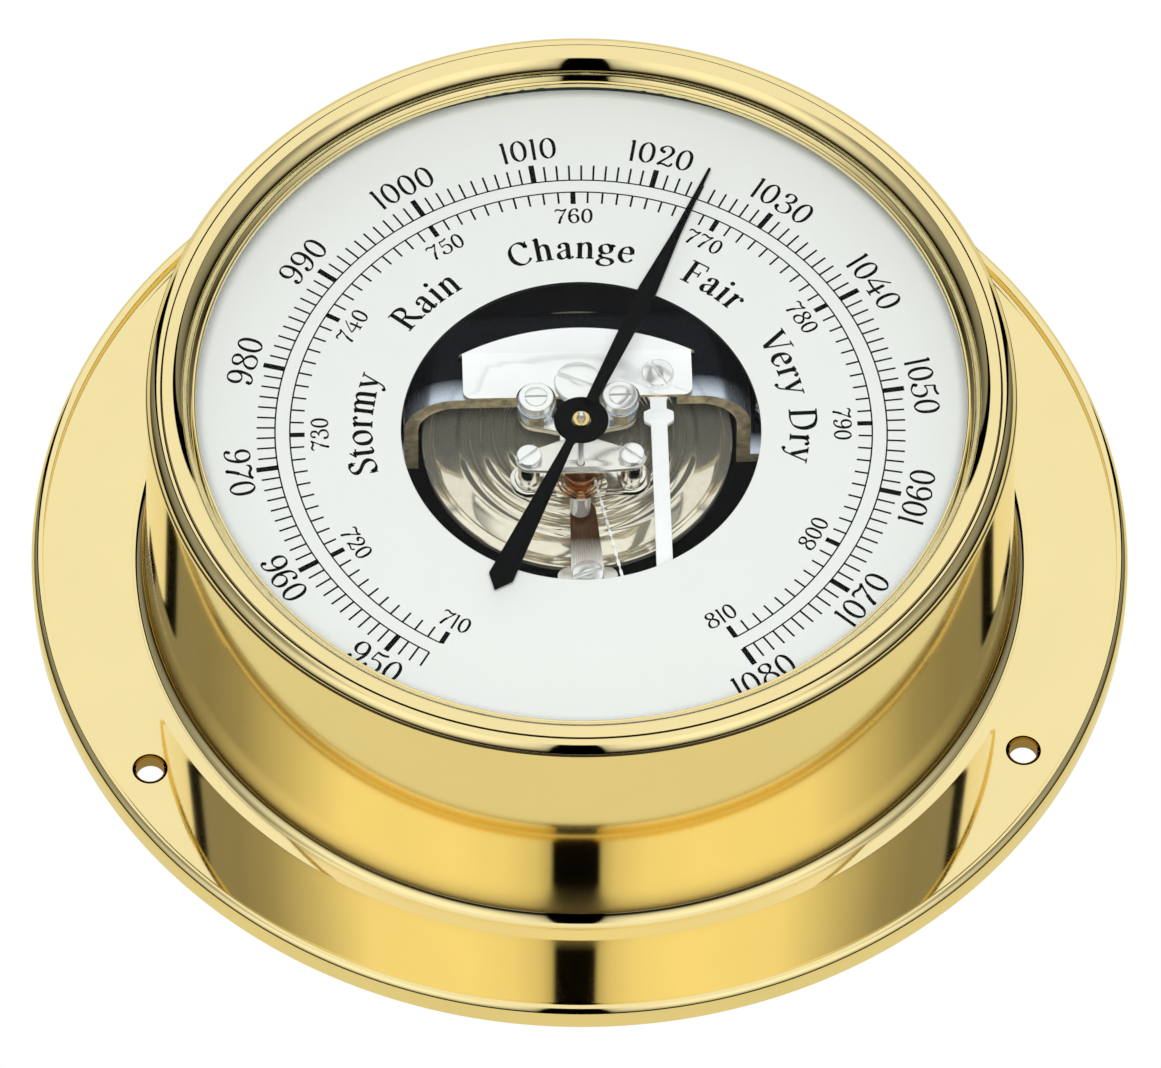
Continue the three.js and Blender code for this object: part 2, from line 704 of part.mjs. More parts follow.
function chainArm() {
  const outline = polygon([
    ...arc(SHAFT_Y, SHAFT_Z, 1.4, -240, 60, 10),
    [SHAFT_Y + 0.45, CHAIN_Z + 0.5],
    [SHAFT_Y - 0.45, CHAIN_Z + 0.5],
  ]);
  outline.holes.push(circlePath(SHAFT_Y, SHAFT_Z, SHAFT_R + 0.06));
  return alongX(outline, CHAIN_ARM_X - 0.4, CHAIN_ARM_X + 0.4, 8);
}

function shaftBracket() {
  const foot = BASE_TOP + 0.05;
  const [left, right, top, t] = [0.9, 12.1, 7.4, 0.8];
  const outline = polygon([
    [left, foot],
    [right, foot],
    [right, top],
    [right - t, top],
    [right - t, foot + t],
    [left + t, foot + t],
    [left + t, top],
    [left, top],
  ]);
  const strap = alongY(outline, SHAFT_Y - 1.2, SHAFT_Y + 1.2);
  const pivots = rodAlongX(SHAFT_Y, SHAFT_Z, 0.85, left - 1, right + 1);
  const linkNotch = box(LINK_X - 0.4, LINK_X + LINK_T + 0.4, SHAFT_Y - 1.3, SHAFT_Y - 0.5, foot - 1, foot + 1);
  return shaped(strap, { cut: [pivots, linkNotch] });
}

function pivotScrew(side) {
  const turn = side < 0 ? -Math.PI / 2 : Math.PI / 2;
  const x = side < 0 ? 0.87 : 12.13;
  const upright = screw({ x: 0, y: 0, seat: 0, headR: 1.3, headH: 0.9, shankR: 0.75, length: 1.38 });
  return upright.rotateY(turn).translate(x, SHAFT_Y, SHAFT_Z);
}

// The chain runs straight from the drum's right side to the chain arm.
function chain() {
  const from = new THREE.Vector3(1.32, -0.3, CHAIN_Z);
  const to = new THREE.Vector3(CHAIN_ARM_X, SHAFT_Y + 0.8, CHAIN_Z);
  const geometry = new THREE.CylinderGeometry(0.16, 0.16, from.distanceTo(to), 6);
  const direction = to.clone().sub(from).normalize();
  const turn = new THREE.Quaternion().setFromUnitVectors(new THREE.Vector3(0, 1, 0), direction);
  return geometry.applyQuaternion(turn).translate(...from.add(to).multiplyScalar(0.5).toArray());
}

function buildRockingShaft() {
  addPiece("shaft_bracket", shaftBracket(), nickel());
  addPiece("pivot_screw_left", pivotScrew(-1), steel());
  addPiece("pivot_screw_right", pivotScrew(1), steel());
  addPiece("rocking_shaft", rockingShaft(), steel());
  addPiece("crank_arm", crankArm(), nickel());
  addPiece("chain_arm", chainArm(), nickel());
  addPiece("chain", chain(), steel());
}

// ---------------------------------------------------------------- arbor, hairspring and pointer

function arbor() {
  return turned(
    [
      [0, LOWER_COCK_Z + 0.1],
      [0.2, LOWER_COCK_Z + 0.1],
      [0.2, 8.75],
      [1.05, 8.9],
      [1.05, 12.2],
      [0.45, 12.5],
      [0.45, COCK_BOTTOM - 0.15],
      [0.33, COCK_BOTTOM - 0.15],
      [0.33, ARBOR_TOP - 0.15],
      [0.2, ARBOR_TOP],
      [0, ARBOR_TOP],
    ],
    SMALL,
  );
}

function chainDrum() {
  const [bottom, top, hub, flange, bore] = [14.7, 15.95, 1.25, 1.6, 0.5];
  return turned(
    [
      [bore, bottom],
      [flange, bottom],
      [flange, bottom + 0.2],
      [hub, bottom + 0.3],
      [hub, top - 0.3],
      [flange, top - 0.2],
      [flange, top],
      [bore, top],
    ],
    24,
  );
}

function tube(inner, outer, bottom, top) {
  return turned(
    [
      [inner, bottom],
      [outer, bottom],
      [outer, top],
      [inner, top],
    ],
    SMALL,
  );
}

class Spiral extends THREE.Curve {
  getPoint(t, target = new THREE.Vector3()) {
    const radius = 1 + 1.3 * t;
    const angle = Math.PI + FULL * 3.5 * (1 - t);
    return target.set(radius * Math.cos(angle), radius * Math.sin(angle), 14.25);
  }
}

function hairspring() {
  const section = polygon([
    [-0.2, -0.05],
    [0.2, -0.05],
    [0.2, 0.05],
    [-0.2, 0.05],
  ]);
  return new THREE.ExtrudeGeometry(section, { steps: 56, bevelEnabled: false, extrudePath: new Spiral() });
}

// Pointer outline along +Y: a narrow needle that widens to a third of its length, then the hub and a spade tail.
function pointer() {
  const outline = polygon([
    [0.12, TIP_R],
    [-0.12, TIP_R],
    [-0.4, 24.5],
    [-0.95, 17],
    [-0.55, 2.55],
    ...arc(0, 0, HUB_R, 102, 258, 16),
    [-0.45, -3],
    [-1.27, -20.2],
    [0, -TAIL_R],
    [1.27, -20.2],
    [0.45, -3],
    ...arc(0, 0, HUB_R, -78, 78, 16),
    [0.55, 2.55],
    [0.95, 17],
    [0.4, 24.5],
  ]);
  outline.holes.push(circlePath(0, 0, 0.95));
  return plate(outline, POINTER_Z, POINTER_Z + POINTER_T, 8);
}

function buildArbor() {
  addPiece("arbor", arbor(), brightSteel());
  addPiece("chain_drum", chainDrum(), copper());
  addPiece("hairspring_collet", tube(0.5, 0.85, 13.7, 14.62), copper());
  addPiece("hairspring", hairspring(), copper());
  const stud = box(-3.3, -2.45, -0.4, 0.4, LOWER_PLATE_TOP + 0.05, LOWER_PLATE_TOP + 1);
  addPiece("hairspring_stud", stud, plainBrass());
  const hands = new THREE.Group();
  hands.rotation.z = THREE.MathUtils.degToRad(-POINTER_ANGLE);
  barometer.add(hands);
  addPiece("pointer", pointer(), blackPaint(), hands);
  addPiece("pointer_bush", tube(0.37, 0.88, POINTER_Z - 0.3, POINTER_Z + POINTER_T + 0.25), plainBrass(), hands);
}

buildCase();
buildFrame();
buildCapsule();
buildRockingShaft();
buildArbor();

export default barometer;
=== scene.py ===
"""Looks of the aneroid barometer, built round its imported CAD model.

Lengths are in millimetres and become metres when a mesh is made. Angles of the dial are in degrees,
clockwise from the 760 mark at +Y. Each fine piece takes the place of the CAD node it is named after.
"""

import json
import math

import bmesh
import bpy
from mathutils import Matrix, Vector
from mathutils.geometry import tessellate_polygon

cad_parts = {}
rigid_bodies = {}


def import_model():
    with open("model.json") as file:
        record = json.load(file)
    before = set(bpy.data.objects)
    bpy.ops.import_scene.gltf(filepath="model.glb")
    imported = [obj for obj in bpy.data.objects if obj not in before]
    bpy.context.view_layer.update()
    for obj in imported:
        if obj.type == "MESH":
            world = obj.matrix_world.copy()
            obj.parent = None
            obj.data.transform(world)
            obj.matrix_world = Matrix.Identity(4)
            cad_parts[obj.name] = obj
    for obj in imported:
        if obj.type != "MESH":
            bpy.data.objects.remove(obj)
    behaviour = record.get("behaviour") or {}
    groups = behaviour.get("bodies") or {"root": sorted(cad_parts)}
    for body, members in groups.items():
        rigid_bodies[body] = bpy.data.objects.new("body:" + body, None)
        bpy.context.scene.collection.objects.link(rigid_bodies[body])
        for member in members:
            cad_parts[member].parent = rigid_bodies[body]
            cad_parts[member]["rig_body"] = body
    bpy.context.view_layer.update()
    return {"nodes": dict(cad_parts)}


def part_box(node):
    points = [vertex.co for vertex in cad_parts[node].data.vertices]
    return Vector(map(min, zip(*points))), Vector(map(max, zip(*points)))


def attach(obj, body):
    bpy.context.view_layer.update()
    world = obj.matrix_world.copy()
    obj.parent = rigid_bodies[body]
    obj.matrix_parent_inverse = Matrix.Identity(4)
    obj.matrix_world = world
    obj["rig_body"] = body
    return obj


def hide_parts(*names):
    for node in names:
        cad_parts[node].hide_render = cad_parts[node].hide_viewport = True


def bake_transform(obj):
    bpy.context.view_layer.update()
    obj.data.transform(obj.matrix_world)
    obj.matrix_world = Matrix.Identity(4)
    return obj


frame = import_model()

MM = 0.001
ROUND = 256  # segments of the large turned parts
SMALL = 48  # segments of screws and other small turned parts
SHARP = 35  # edges over this many degrees stay crisp


def low(node):
    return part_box(node)[0] / MM


def high(node):
    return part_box(node)[1] / MM


# ---------------------------------------------------------------- outlines


def arc(x, y, radius, start, end, steps=12):
    """Points on an arc, from one angle in degrees to another."""
    points = []
    for i in range(steps + 1):
        angle = math.radians(start + (end - start) * i / steps)
        points.append((x + radius * math.cos(angle), y + radius * math.sin(angle)))
    return points


def circle(x, y, radius, steps=SMALL):
    return arc(x, y, radius, 0, 360 * (steps - 1) / steps, steps - 1)


def on_circle(radius, degrees):
    """A point at an angle clockwise from +Y."""
    angle = math.radians(degrees)
    return (radius * math.sin(angle), radius * math.cos(angle))


def smooth_line(points, steps=8, closed=False):
    """A Catmull-Rom curve through the points."""
    count = len(points)
    result = []
    spans = count if closed else count - 1
    for i in range(spans):
        if closed:
            a, b, c, d = (Vector(points[(i + k) % count]) for k in (-1, 0, 1, 2))
        else:
            a, b, c, d = (Vector(points[min(max(i + k, 0), count - 1)]) for k in (-1, 0, 1, 2))
        for k in range(steps):
            t = k / steps
            near = 2 * b + (c - a) * t
            far = (2 * a - 5 * b + 4 * c - d) * t * t + (3 * b - a - 3 * c + d) * t**3
            result.append((near + far) / 2)
    if not closed:
        result.append(Vector(points[-1]))
    return result


# ---------------------------------------------------------------- meshes


def finish_mesh(bm):
    """A smooth-shaded mesh in metres from a bmesh in millimetres."""
    bmesh.ops.recalc_face_normals(bm, faces=bm.faces)
    for vertex in bm.verts:
        vertex.co *= MM
    mesh = bpy.data.meshes.new("shape")
    bm.to_mesh(mesh)
    bm.free()
    mesh.shade_smooth()
    mesh.set_sharp_from_angle(angle=math.radians(SHARP))
    return mesh


def lathe(profile, centre=(0, 0), segments=ROUND, closed=True):
    """A turned shape round a vertical axis. The profile is a list of (radius, height)."""
    bm = bmesh.new()
    rings = []
    for radius, z in profile:
        if radius < 1e-6:
            rings.append([bm.verts.new((centre[0], centre[1], z))])
            continue
        ring = []
        for i in range(segments):
            angle = math.tau * i / segments
            x = centre[0] + radius * math.cos(angle)
            y = centre[1] + radius * math.sin(angle)
            ring.append(bm.verts.new((x, y, z)))
        rings.append(ring)
    pairs = list(zip(rings, rings[1:]))
    if closed and len(rings[0]) > 1:
        pairs.append((rings[-1], rings[0]))
    for first, second in pairs:
        for i in range(segments):
            k = (i + 1) % segments
            corners = [first[i % len(first)], first[k % len(first)], second[k % len(second)], second[i % len(second)]]
            corners = list(dict.fromkeys(corners))
            if len(corners) > 2:
                bm.faces.new(corners)
    return finish_mesh(bm)


def flat(outline, bottom, top, holes=()):
    """A flat plate between two heights, with holes right through."""
    loops = [[Vector((x, y, 0)) for x, y in loop] for loop in (outline, *holes)]
    return prism(loops, Vector((0, 0, bottom)), Vector((0, 0, top)), lambda p: p)


def across(outline, start, end, holes=()):
    """A shape with its section in the YZ plane, from one X to another."""
    loops = [[Vector((x, y, 0)) for x, y in loop] for loop in (outline, *holes)]
    return prism(loops, Vector((start, 0, 0)), Vector((end, 0, 0)), lambda p: Vector((0, p.x, p.y)))


def along(outline, start, end):
    """A shape with its section in the XZ plane, from one Y to another."""
    loops = [[Vector((x, y, 0)) for x, y in outline]]
    return prism(loops, Vector((0, start, 0)), Vector((0, end, 0)), lambda p: Vector((p.x, 0, p.y)))


def prism(loops, start, end, turn):
    bm = bmesh.new()
    corners = [point for loop in loops for point in loop]
    first = [bm.verts.new(turn(point) + start) for point in corners]
    last = [bm.verts.new(turn(point) + end) for point in corners]
    for triangle in tessellate_polygon(loops):
        bm.faces.new([first[i] for i in triangle])
        bm.faces.new([last[i] for i in reversed(triangle)])
    offset = 0
    for loop in loops:
        for i in range(len(loop)):
            a = offset + i
            b = offset + (i + 1) % len(loop)
            bm.faces.new([first[a], first[b], last[b], last[a]])
        offset += len(loop)
    return finish_mesh(bm)


def box(x0, x1, y0, y1, z0, z1):
    return flat([(x0, y0), (x1, y0), (x1, y1), (x0, y1)], z0, z1)


def applied(mesh, add_modifiers):
    """The mesh after the modifiers that `add_modifiers(object)` puts on it."""
    holder = bpy.data.objects.new("holder", mesh)
    bpy.context.scene.collection.objects.link(holder)
    helpers = add_modifiers(holder) or []
    graph = bpy.context.evaluated_depsgraph_get()
    result = bpy.data.meshes.new_from_object(holder.evaluated_get(graph))
    for helper in [holder, *helpers]:
        bpy.data.objects.remove(helper)
    result.shade_smooth()
    result.set_sharp_from_angle(angle=math.radians(SHARP))
    return result


def combined(mesh, cut=(), add=()):
    """Exact booleans of the mesh with others."""

    def modifiers(holder):
        helpers = []
        for operation, others in (("UNION", add), ("DIFFERENCE", cut)):
            for other in others:
                tool = bpy.data.objects.new("tool", other)
                bpy.context.scene.collection.objects.link(tool)
                tool.hide_render = True
                helpers.append(tool)
                boolean = holder.modifiers.new("boolean", "BOOLEAN")
                boolean.operation = operation
                boolean.solver = "EXACT"
                boolean.object = tool
        return helpers

    return applied(mesh, modifiers)


def softened(mesh, width):
    """The mesh with its sharp edges rounded by `width` mm."""

    def modifiers(holder):
        bevel = holder.modifiers.new("bevel", "BEVEL")
        bevel.width = width * MM
        bevel.segments = 2
        bevel.limit_method = "ANGLE"
        bevel.angle_limit = math.radians(SHARP)

    return applied(mesh, modifiers)


def joined(meshes):
    bm = bmesh.new()
    for mesh in meshes:
        bm.from_mesh(mesh)
    result = bpy.data.meshes.new("shape")
    bm.to_mesh(result)
    bm.free()
    result.shade_smooth()
    result.set_sharp_from_angle(angle=math.radians(SHARP))
    return result


def rod(a, b, radius, segments=24):
    """A round rod between two points."""
    a, b = Vector(a), Vector(b)
    bm = bmesh.new()
    turn = (b - a).to_track_quat("Z", "Y").to_matrix()
    ends = []
    for point in (a, b):
        ring = [bm.verts.new(point + turn @ Vector((x, y, 0))) for x, y in circle(0, 0, radius, segments)]
        ends.append(ring)
        bm.faces.new(ring)
    for i in range(segments):
        k = (i + 1) % segments
        bm.faces.new([ends[0][i], ends[0][k], ends[1][k], ends[1][i]])
    return finish_mesh(bm)


def screw(x, y, seat, head_r, head_h, turn, chamfer=0.12, shank_r=0.6, length=1.5):
    """A slotted cheese-head screw with its head on the height `seat`."""
    profile = [
        (0, -length),
        (shank_r, -length),
        (shank_r, 0),
        (head_r - 0.05, 0),
        (head_r, 0.06),
        (head_r, head_h - chamfer),
        *arc(head_r - chamfer, head_h - chamfer, chamfer, 0, 90, 4)[1:],
        (head_r * 0.5, head_h + 0.015),
        (0, head_h + 0.02),
    ]
    slot_w = head_r * 0.24
    slot = box(-head_r * 1.1, head_r * 1.1, -slot_w / 2, slot_w / 2, head_h * 0.5, head_h * 1.5)
    mesh = combined(lathe(profile, segments=SMALL), cut=[slot])
    mesh = softened(mesh, 0.03)
    mesh.transform(Matrix.Rotation(math.radians(turn), 4, "Z"))
    mesh.transform(Matrix.Translation(Vector((x, y, seat)) * MM))
    return mesh


def shouldered_screw(x, y, seat, collar_r, collar_h, screw_r):
    """A small slotted screw let flush into a broad polished collar."""
    gap, rise, slot_w = 0.06, 0.08, 0.26
    profile = [
        (0, -1),
        (0.7, -1),
        (0.7, 0),
        (collar_r - 0.04, 0),
        (collar_r, 0.05),
        (collar_r, collar_h - 0.12),
        *arc(collar_r - 0.12, collar_h - 0.12, 0.12, 0, 90, 5)[1:],
        (screw_r + gap, collar_h),
        (screw_r + gap * 0.6, collar_h - 0.12),
        (screw_r, collar_h - 0.12),
        (screw_r, collar_h + rise * 0.4),
        (screw_r * 0.9, collar_h + rise * 0.8),
        (screw_r * 0.5, collar_h + rise),
        (0, collar_h + rise * 1.1),
    ]
    reach = math.sqrt(screw_r**2 - slot_w**2)
    slot = box(-reach, reach, -slot_w / 2, slot_w / 2, collar_h * 0.6, collar_h * 1.5)
    mesh = combined(lathe(profile, segments=SMALL * 2), cut=[slot])
    mesh.transform(Matrix.Translation(Vector((x, y, seat)) * MM))
    return mesh


def piece(name, mesh, material, body):
    result = bpy.data.objects.new(name, mesh)
    bpy.context.scene.collection.objects.link(result)
    mesh.materials.clear()
    mesh.materials.append(material)
    if body:
        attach(result, body)
    return result


def fine(node, mesh, material):
    """A fine piece in place of the CAD node of that name, on the same body."""
    body = frame["nodes"][node]["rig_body"]
    result = piece(f"{node}_fine", mesh, material, body)
    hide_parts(node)
    return result


def paint_faces(target, material, chosen):
    """A second material on the faces that `chosen(centre in mm, normal)` picks."""
    mesh = target.data
    mesh.materials.append(material)
    index = len(mesh.materials) - 1
    for polygon in mesh.polygons:
        if chosen(polygon.center / MM, polygon.normal):
            polygon.material_index = index


def keep_cad(node, material):
    """The CAD node stays in view, with a procedural material."""
    mesh = frame["nodes"][node].data
    mesh.materials.clear()
    mesh.materials.append(material)


# ---------------------------------------------------------------- materials


class Surface:
    """A Principled material whose inputs can be driven by noise."""

    def __init__(self, name, colour, roughness, metallic=0.0):
        self.material = bpy.data.materials.new(name)
        self.material.use_nodes = True
        self.tree = self.material.node_tree
        self.shader = self.tree.nodes["Principled BSDF"]
        self.shader.inputs["Base Color"].default_value = (*colour, 1)
        self.shader.inputs["Roughness"].default_value = roughness
        self.shader.inputs["Metallic"].default_value = metallic
        self.colour = colour

    def node(self, kind, **values):
        made = self.tree.nodes.new(kind)
        for key, value in values.items():
            made.inputs[key].default_value = value
        return made

    def link(self, source, target):
        self.tree.links.new(source, target)

    def noise(self, scale, stretch=(1, 1, 1), detail=3, polar=False):
        """Noise in object space; `scale` is in cycles per millimetre. Polar noise runs round the Z axis."""
        place = self.node("ShaderNodeTexCoord").outputs["Object"]
        if polar:
            split = self.node("ShaderNodeSeparateXYZ")
            self.link(place, split.inputs[0])
            plane = self.node("ShaderNodeCombineXYZ")
            self.link(split.outputs["X"], plane.inputs["X"])
            self.link(split.outputs["Y"], plane.inputs["Y"])
            length = self.node("ShaderNodeVectorMath")
            length.operation = "LENGTH"
            self.link(plane.outputs[0], length.inputs[0])
            ring = self.node("ShaderNodeCombineXYZ")
            self.link(length.outputs["Value"], ring.inputs["X"])
            self.link(split.outputs["Z"], ring.inputs["Z"])
            place = ring.outputs[0]
        mapping = self.node("ShaderNodeMapping")
        mapping.inputs["Scale"].default_value = [scale / MM * s for s in stretch]
        self.link(place, mapping.inputs["Vector"])
        noise = self.node("ShaderNodeTexNoise", Scale=1.0, Detail=detail, Roughness=0.55)
        self.link(mapping.outputs["Vector"], noise.inputs["Vector"])
        return noise.outputs["Fac"]

    def spread(self, source, lowest, highest):
        """Maps the noise's middle range on to lowest..highest."""
        ramp = self.node("ShaderNodeMapRange")
        ramp.inputs["From Min"].default_value = 0.3
        ramp.inputs["From Max"].default_value = 0.7
        ramp.inputs["To Min"].default_value = lowest
        ramp.inputs["To Max"].default_value = highest
        self.link(source, ramp.inputs["Value"])
        return ramp.outputs["Result"]

    def roughness(self, source, lowest, highest):
        self.link(self.spread(source, lowest, highest), self.shader.inputs["Roughness"])

    def tint(self, source, amount):
        """Lets the colour's brightness wander by a share of itself."""
        hue = self.node("ShaderNodeHueSaturation", Color=(*self.colour, 1))
        self.link(self.spread(source, 1 - amount, 1 + amount), hue.inputs["Value"])
        self.link(hue.outputs["Color"], self.shader.inputs["Base Color"])

    def bump(self, source, height):
        """Bumps of about `height` micrometres."""
        bump = self.node("ShaderNodeBump", Strength=1.0, Distance=height * 1e-6)
        self.link(source, bump.inputs["Height"])
        self.link(bump.outputs["Normal"], self.shader.inputs["Normal"])


def metal(name, colour, roughness, grain=(1, 1, 1), scale=2.0, height=0.4, polar=False, wander=0.04):
    """Bare or plated metal: a tool grain in the roughness and the bump, and a slow change of tone."""
    surface = Surface(name, colour, roughness, 1.0)
    fine_grain = surface.noise(scale, grain, 4, polar)
    surface.roughness(fine_grain, roughness * 0.75, roughness * 1.35)
    surface.tint(surface.noise(0.08), wander)
    surface.bump(fine_grain, height)
    return surface.material


def satin(name, colour, roughness, grain, scale, height, wander=0.015, metallic=0.35):
    """Finely brushed metal that also scatters light, so it looks evenly bright."""
    surface = Surface(name, colour, roughness, metallic)
    brushed = surface.noise(scale, grain, 4)
    surface.roughness(brushed, roughness * 0.85, roughness * 1.2)
    surface.tint(surface.noise(scale * 0.4), wander)
    surface.bump(brushed, height)
    return surface.material


def paint(name, colour, roughness, scale=3.0, height=0.6, wander=0.03, specular=0.5):
    surface = Surface(name, colour, roughness)
    surface.shader.inputs["Specular IOR Level"].default_value = specular
    grain = surface.noise(scale)
    surface.roughness(grain, roughness * 0.85, roughness * 1.15)
    surface.tint(surface.noise(0.15), wander)
    surface.bump(grain, height)
    return surface.material


def wall_brass():
    """Polished brass with turning lines that grow coarser towards the foot of the wall."""
    surface = Surface("turned_wall", (0.9, 0.76, 0.38), 0.05, 1.0)
    surface.tint(surface.noise(0.08), 0.015)
    split = surface.node("ShaderNodeSeparateXYZ")
    surface.link(surface.node("ShaderNodeTexCoord").outputs["Object"], split.inputs[0])
    fade = surface.node("ShaderNodeMapRange")
    fade.inputs["From Min"].default_value = 3.5 * MM
    fade.inputs["From Max"].default_value = 8.5 * MM
    fade.inputs["To Min"].default_value = 0.26
    fade.inputs["To Max"].default_value = 0.05
    surface.link(split.outputs["Z"], fade.inputs["Value"])
    surface.link(fade.outputs["Result"], surface.shader.inputs["Roughness"])
    around = surface.node("ShaderNodeTangent")
    around.direction_type = "RADIAL"
    around.axis = "Z"
    surface.link(around.outputs[0], surface.shader.inputs["Tangent"])
    surface.shader.inputs["Anisotropic"].default_value = 0.9
    surface.shader.inputs["Anisotropic Rotation"].default_value = 0.25
    return surface.material


def faded(name, near, far, axis, start, end, roughness, metallic):
    """Metal whose colour fades along an object axis, between two positions in mm; the fade is painted shade."""
    surface = Surface(name, near, roughness, metallic)
    brushed = surface.noise(2, (6, 0.25, 0.25), 4)
    surface.roughness(brushed, roughness * 0.8, roughness * 1.25)
    surface.bump(brushed, 0.8)
    split = surface.node("ShaderNodeSeparateXYZ")
    surface.link(surface.node("ShaderNodeTexCoord").outputs["Object"], split.inputs[0])
    fade = surface.node("ShaderNodeMapRange")
    fade.inputs["From Min"].default_value = start * MM
    fade.inputs["From Max"].default_value = end * MM
    surface.link(split.outputs[axis], fade.inputs["Value"])
    mix = surface.node("ShaderNodeMix")
    mix.data_type = "RGBA"
    mix.inputs[6].default_value = (*near, 1)
    mix.inputs[7].default_value = (*far, 1)
    surface.link(fade.outputs["Result"], mix.inputs[0])
    surface.link(mix.outputs[2], surface.shader.inputs["Base Color"])
    return surface.material


def clear_glass():
    """Clear glass with a weak reflection that grows towards grazing angles."""
    material = bpy.data.materials.new("clear_glass")
    material.use_nodes = True
    tree = material.node_tree
    tree.nodes.clear()
    output = tree.nodes.new("ShaderNodeOutputMaterial")
    mix = tree.nodes.new("ShaderNodeMixShader")
    through = tree.nodes.new("ShaderNodeBsdfTransparent")
    through.inputs["Color"].default_value = (0.985, 0.995, 0.99, 1)
    shine = tree.nodes.new("ShaderNodeBsdfGlossy")
    shine.inputs["Roughness"].default_value = 0.02
    fresnel = tree.nodes.new("ShaderNodeFresnel")
    fresnel.inputs["IOR"].default_value = 1.45
    weaken = tree.nodes.new("ShaderNodeMath")
    weaken.operation = "MULTIPLY"
    weaken.inputs[1].default_value = 0.12
    tree.links.new(fresnel.outputs[0], weaken.inputs[0])
    tree.links.new(weaken.outputs[0], mix.inputs["Fac"])
    tree.links.new(through.outputs[0], mix.inputs[1])
    tree.links.new(shine.outputs[0], mix.inputs[2])
    tree.links.new(mix.outputs[0], output.inputs["Surface"])
    return material


BRASS = metal("polished_brass", (0.9, 0.76, 0.38), 0.032, (1, 1, 1), 3, 0.02, wander=0.015)
PLAIN_BRASS = metal("turned_brass", (0.86, 0.66, 0.27), 0.16, (1, 1, 0.2), 6, 0.2)
COPPER = metal("bronze", (0.62, 0.33, 0.15), 0.2, (1, 1, 0.2), 5, 0.3, wander=0.15)
# Near-black brass: painted shade for the bezel's groove and a thin line low on its rolled outer edge.
PAINTED_SHADE_BRASS = satin("tarnished_brass", (0.035, 0.02, 0.008), 0.5, (1, 1, 1), 4, 1)
NICKEL = metal("nickel_plate", (0.9, 0.87, 0.79), 0.12, (1, 1, 1), 3, 0.2)
STEEL = metal("brushed_steel", (0.72, 0.73, 0.74), 0.3, (8, 0.4, 1), 1.5, 1.5)
BRIGHT_STEEL = satin("polished_steel", (0.93, 0.93, 0.92), 0.16, (1, 1, 1), 4, 0.15, metallic=0.7)
SATIN_STEEL = satin("satin_steel", (0.88, 0.89, 0.895), 0.34, (0.4, 5, 1), 1.5, 0.2, metallic=0.1)
MIRROR_STEEL = satin("mirror_steel", (0.86, 0.865, 0.865), 0.09, (0.4, 5, 1), 1.5, 0.05, metallic=0.2)
SATIN_NICKEL = satin("satin_nickel", (0.88, 0.86, 0.81), 0.22, (5, 0.4, 1), 2, 0.2, metallic=0.75)
# The strap's colour fades to near black towards its rear, behind the leaf: painted shade.
STRAP_STEEL_SHADED_REAR = faded("blued_steel_strap", (0.62, 0.7, 0.8), (0.003, 0.004, 0.007), "Y", 9.6, 11.8, 0.24, 0.9)
# The lower cock's strip darkens to brown towards the arbor: painted shade where the drum shades it.
STRIP_PAINTED_SHADE = faded("aged_strip", (0.86, 0.84, 0.78), (0.07, 0.03, 0.01), "Y", -6.2, -3.2, 0.25, 0.4)
# Brown on the side faces of the plates is painted shade on the edges; the rough bump is a sheared grain.
EDGE_PAINTED_SHADE = satin("sheared_edge", (0.5, 0.41, 0.25), 0.4, (1, 1, 1), 2.2, 6, 0.5, 0.5)
CAPSULE = satin("pale_nickel", (0.86, 0.8, 0.65), 0.09, (1, 1, 1), 3, 0.2, 0.05, 0.85)
DIAL_WHITE = paint("dial_enamel", (0.868, 0.868, 0.853), 0.6, 4, 0.5, 0.006, 0.2)
WALL_BRASS = wall_brass()
INK = paint("black_ink", (0.003, 0.003, 0.0035), 0.6, specular=0.03)
BLACK_PAINT = paint("black_lacquer", (0.0025, 0.0025, 0.003), 0.4, specular=0.015)
# Black plastic; its teal tint is a painted reflection.
BLACK_PLASTIC_TEAL_REFLECTION = paint("black_plastic", (0.012, 0.024, 0.032), 0.45, specular=0.25)
GLASS = clear_glass()


# ---------------------------------------------------------------- case, bezel, glass and dial

FLANGE_R = high("case_shell").x
FLANGE_T = 1.7
RIM_TOP = 2.75
BEAD_R = 0.95
FOOT_R = 43.6
COVE_R = 1.5
RAMP_W = 0.9
RAMP_TILT = 10.5
DRUM_R = 42.6
BORE_R = 41.9
DRUM_TOP = high("case_shell").z
DIAL_TOP = high("dial").z
DIAL_BOTTOM = low("dial").z
DIAL_HOLE_R = 17.8
GLASS_TOP = high("glass").z
GLASS_BOTTOM = low("glass").z
GLASS_R = high("glass").x
LIP_R = 37.95
CREST = high("bezel").z
EDGE_R = 1.55
GROOVE_R = 41.3
GROOVE_W = 0.14
HOLE_R = 1.4
HOLE_CIRCLE_R = 50


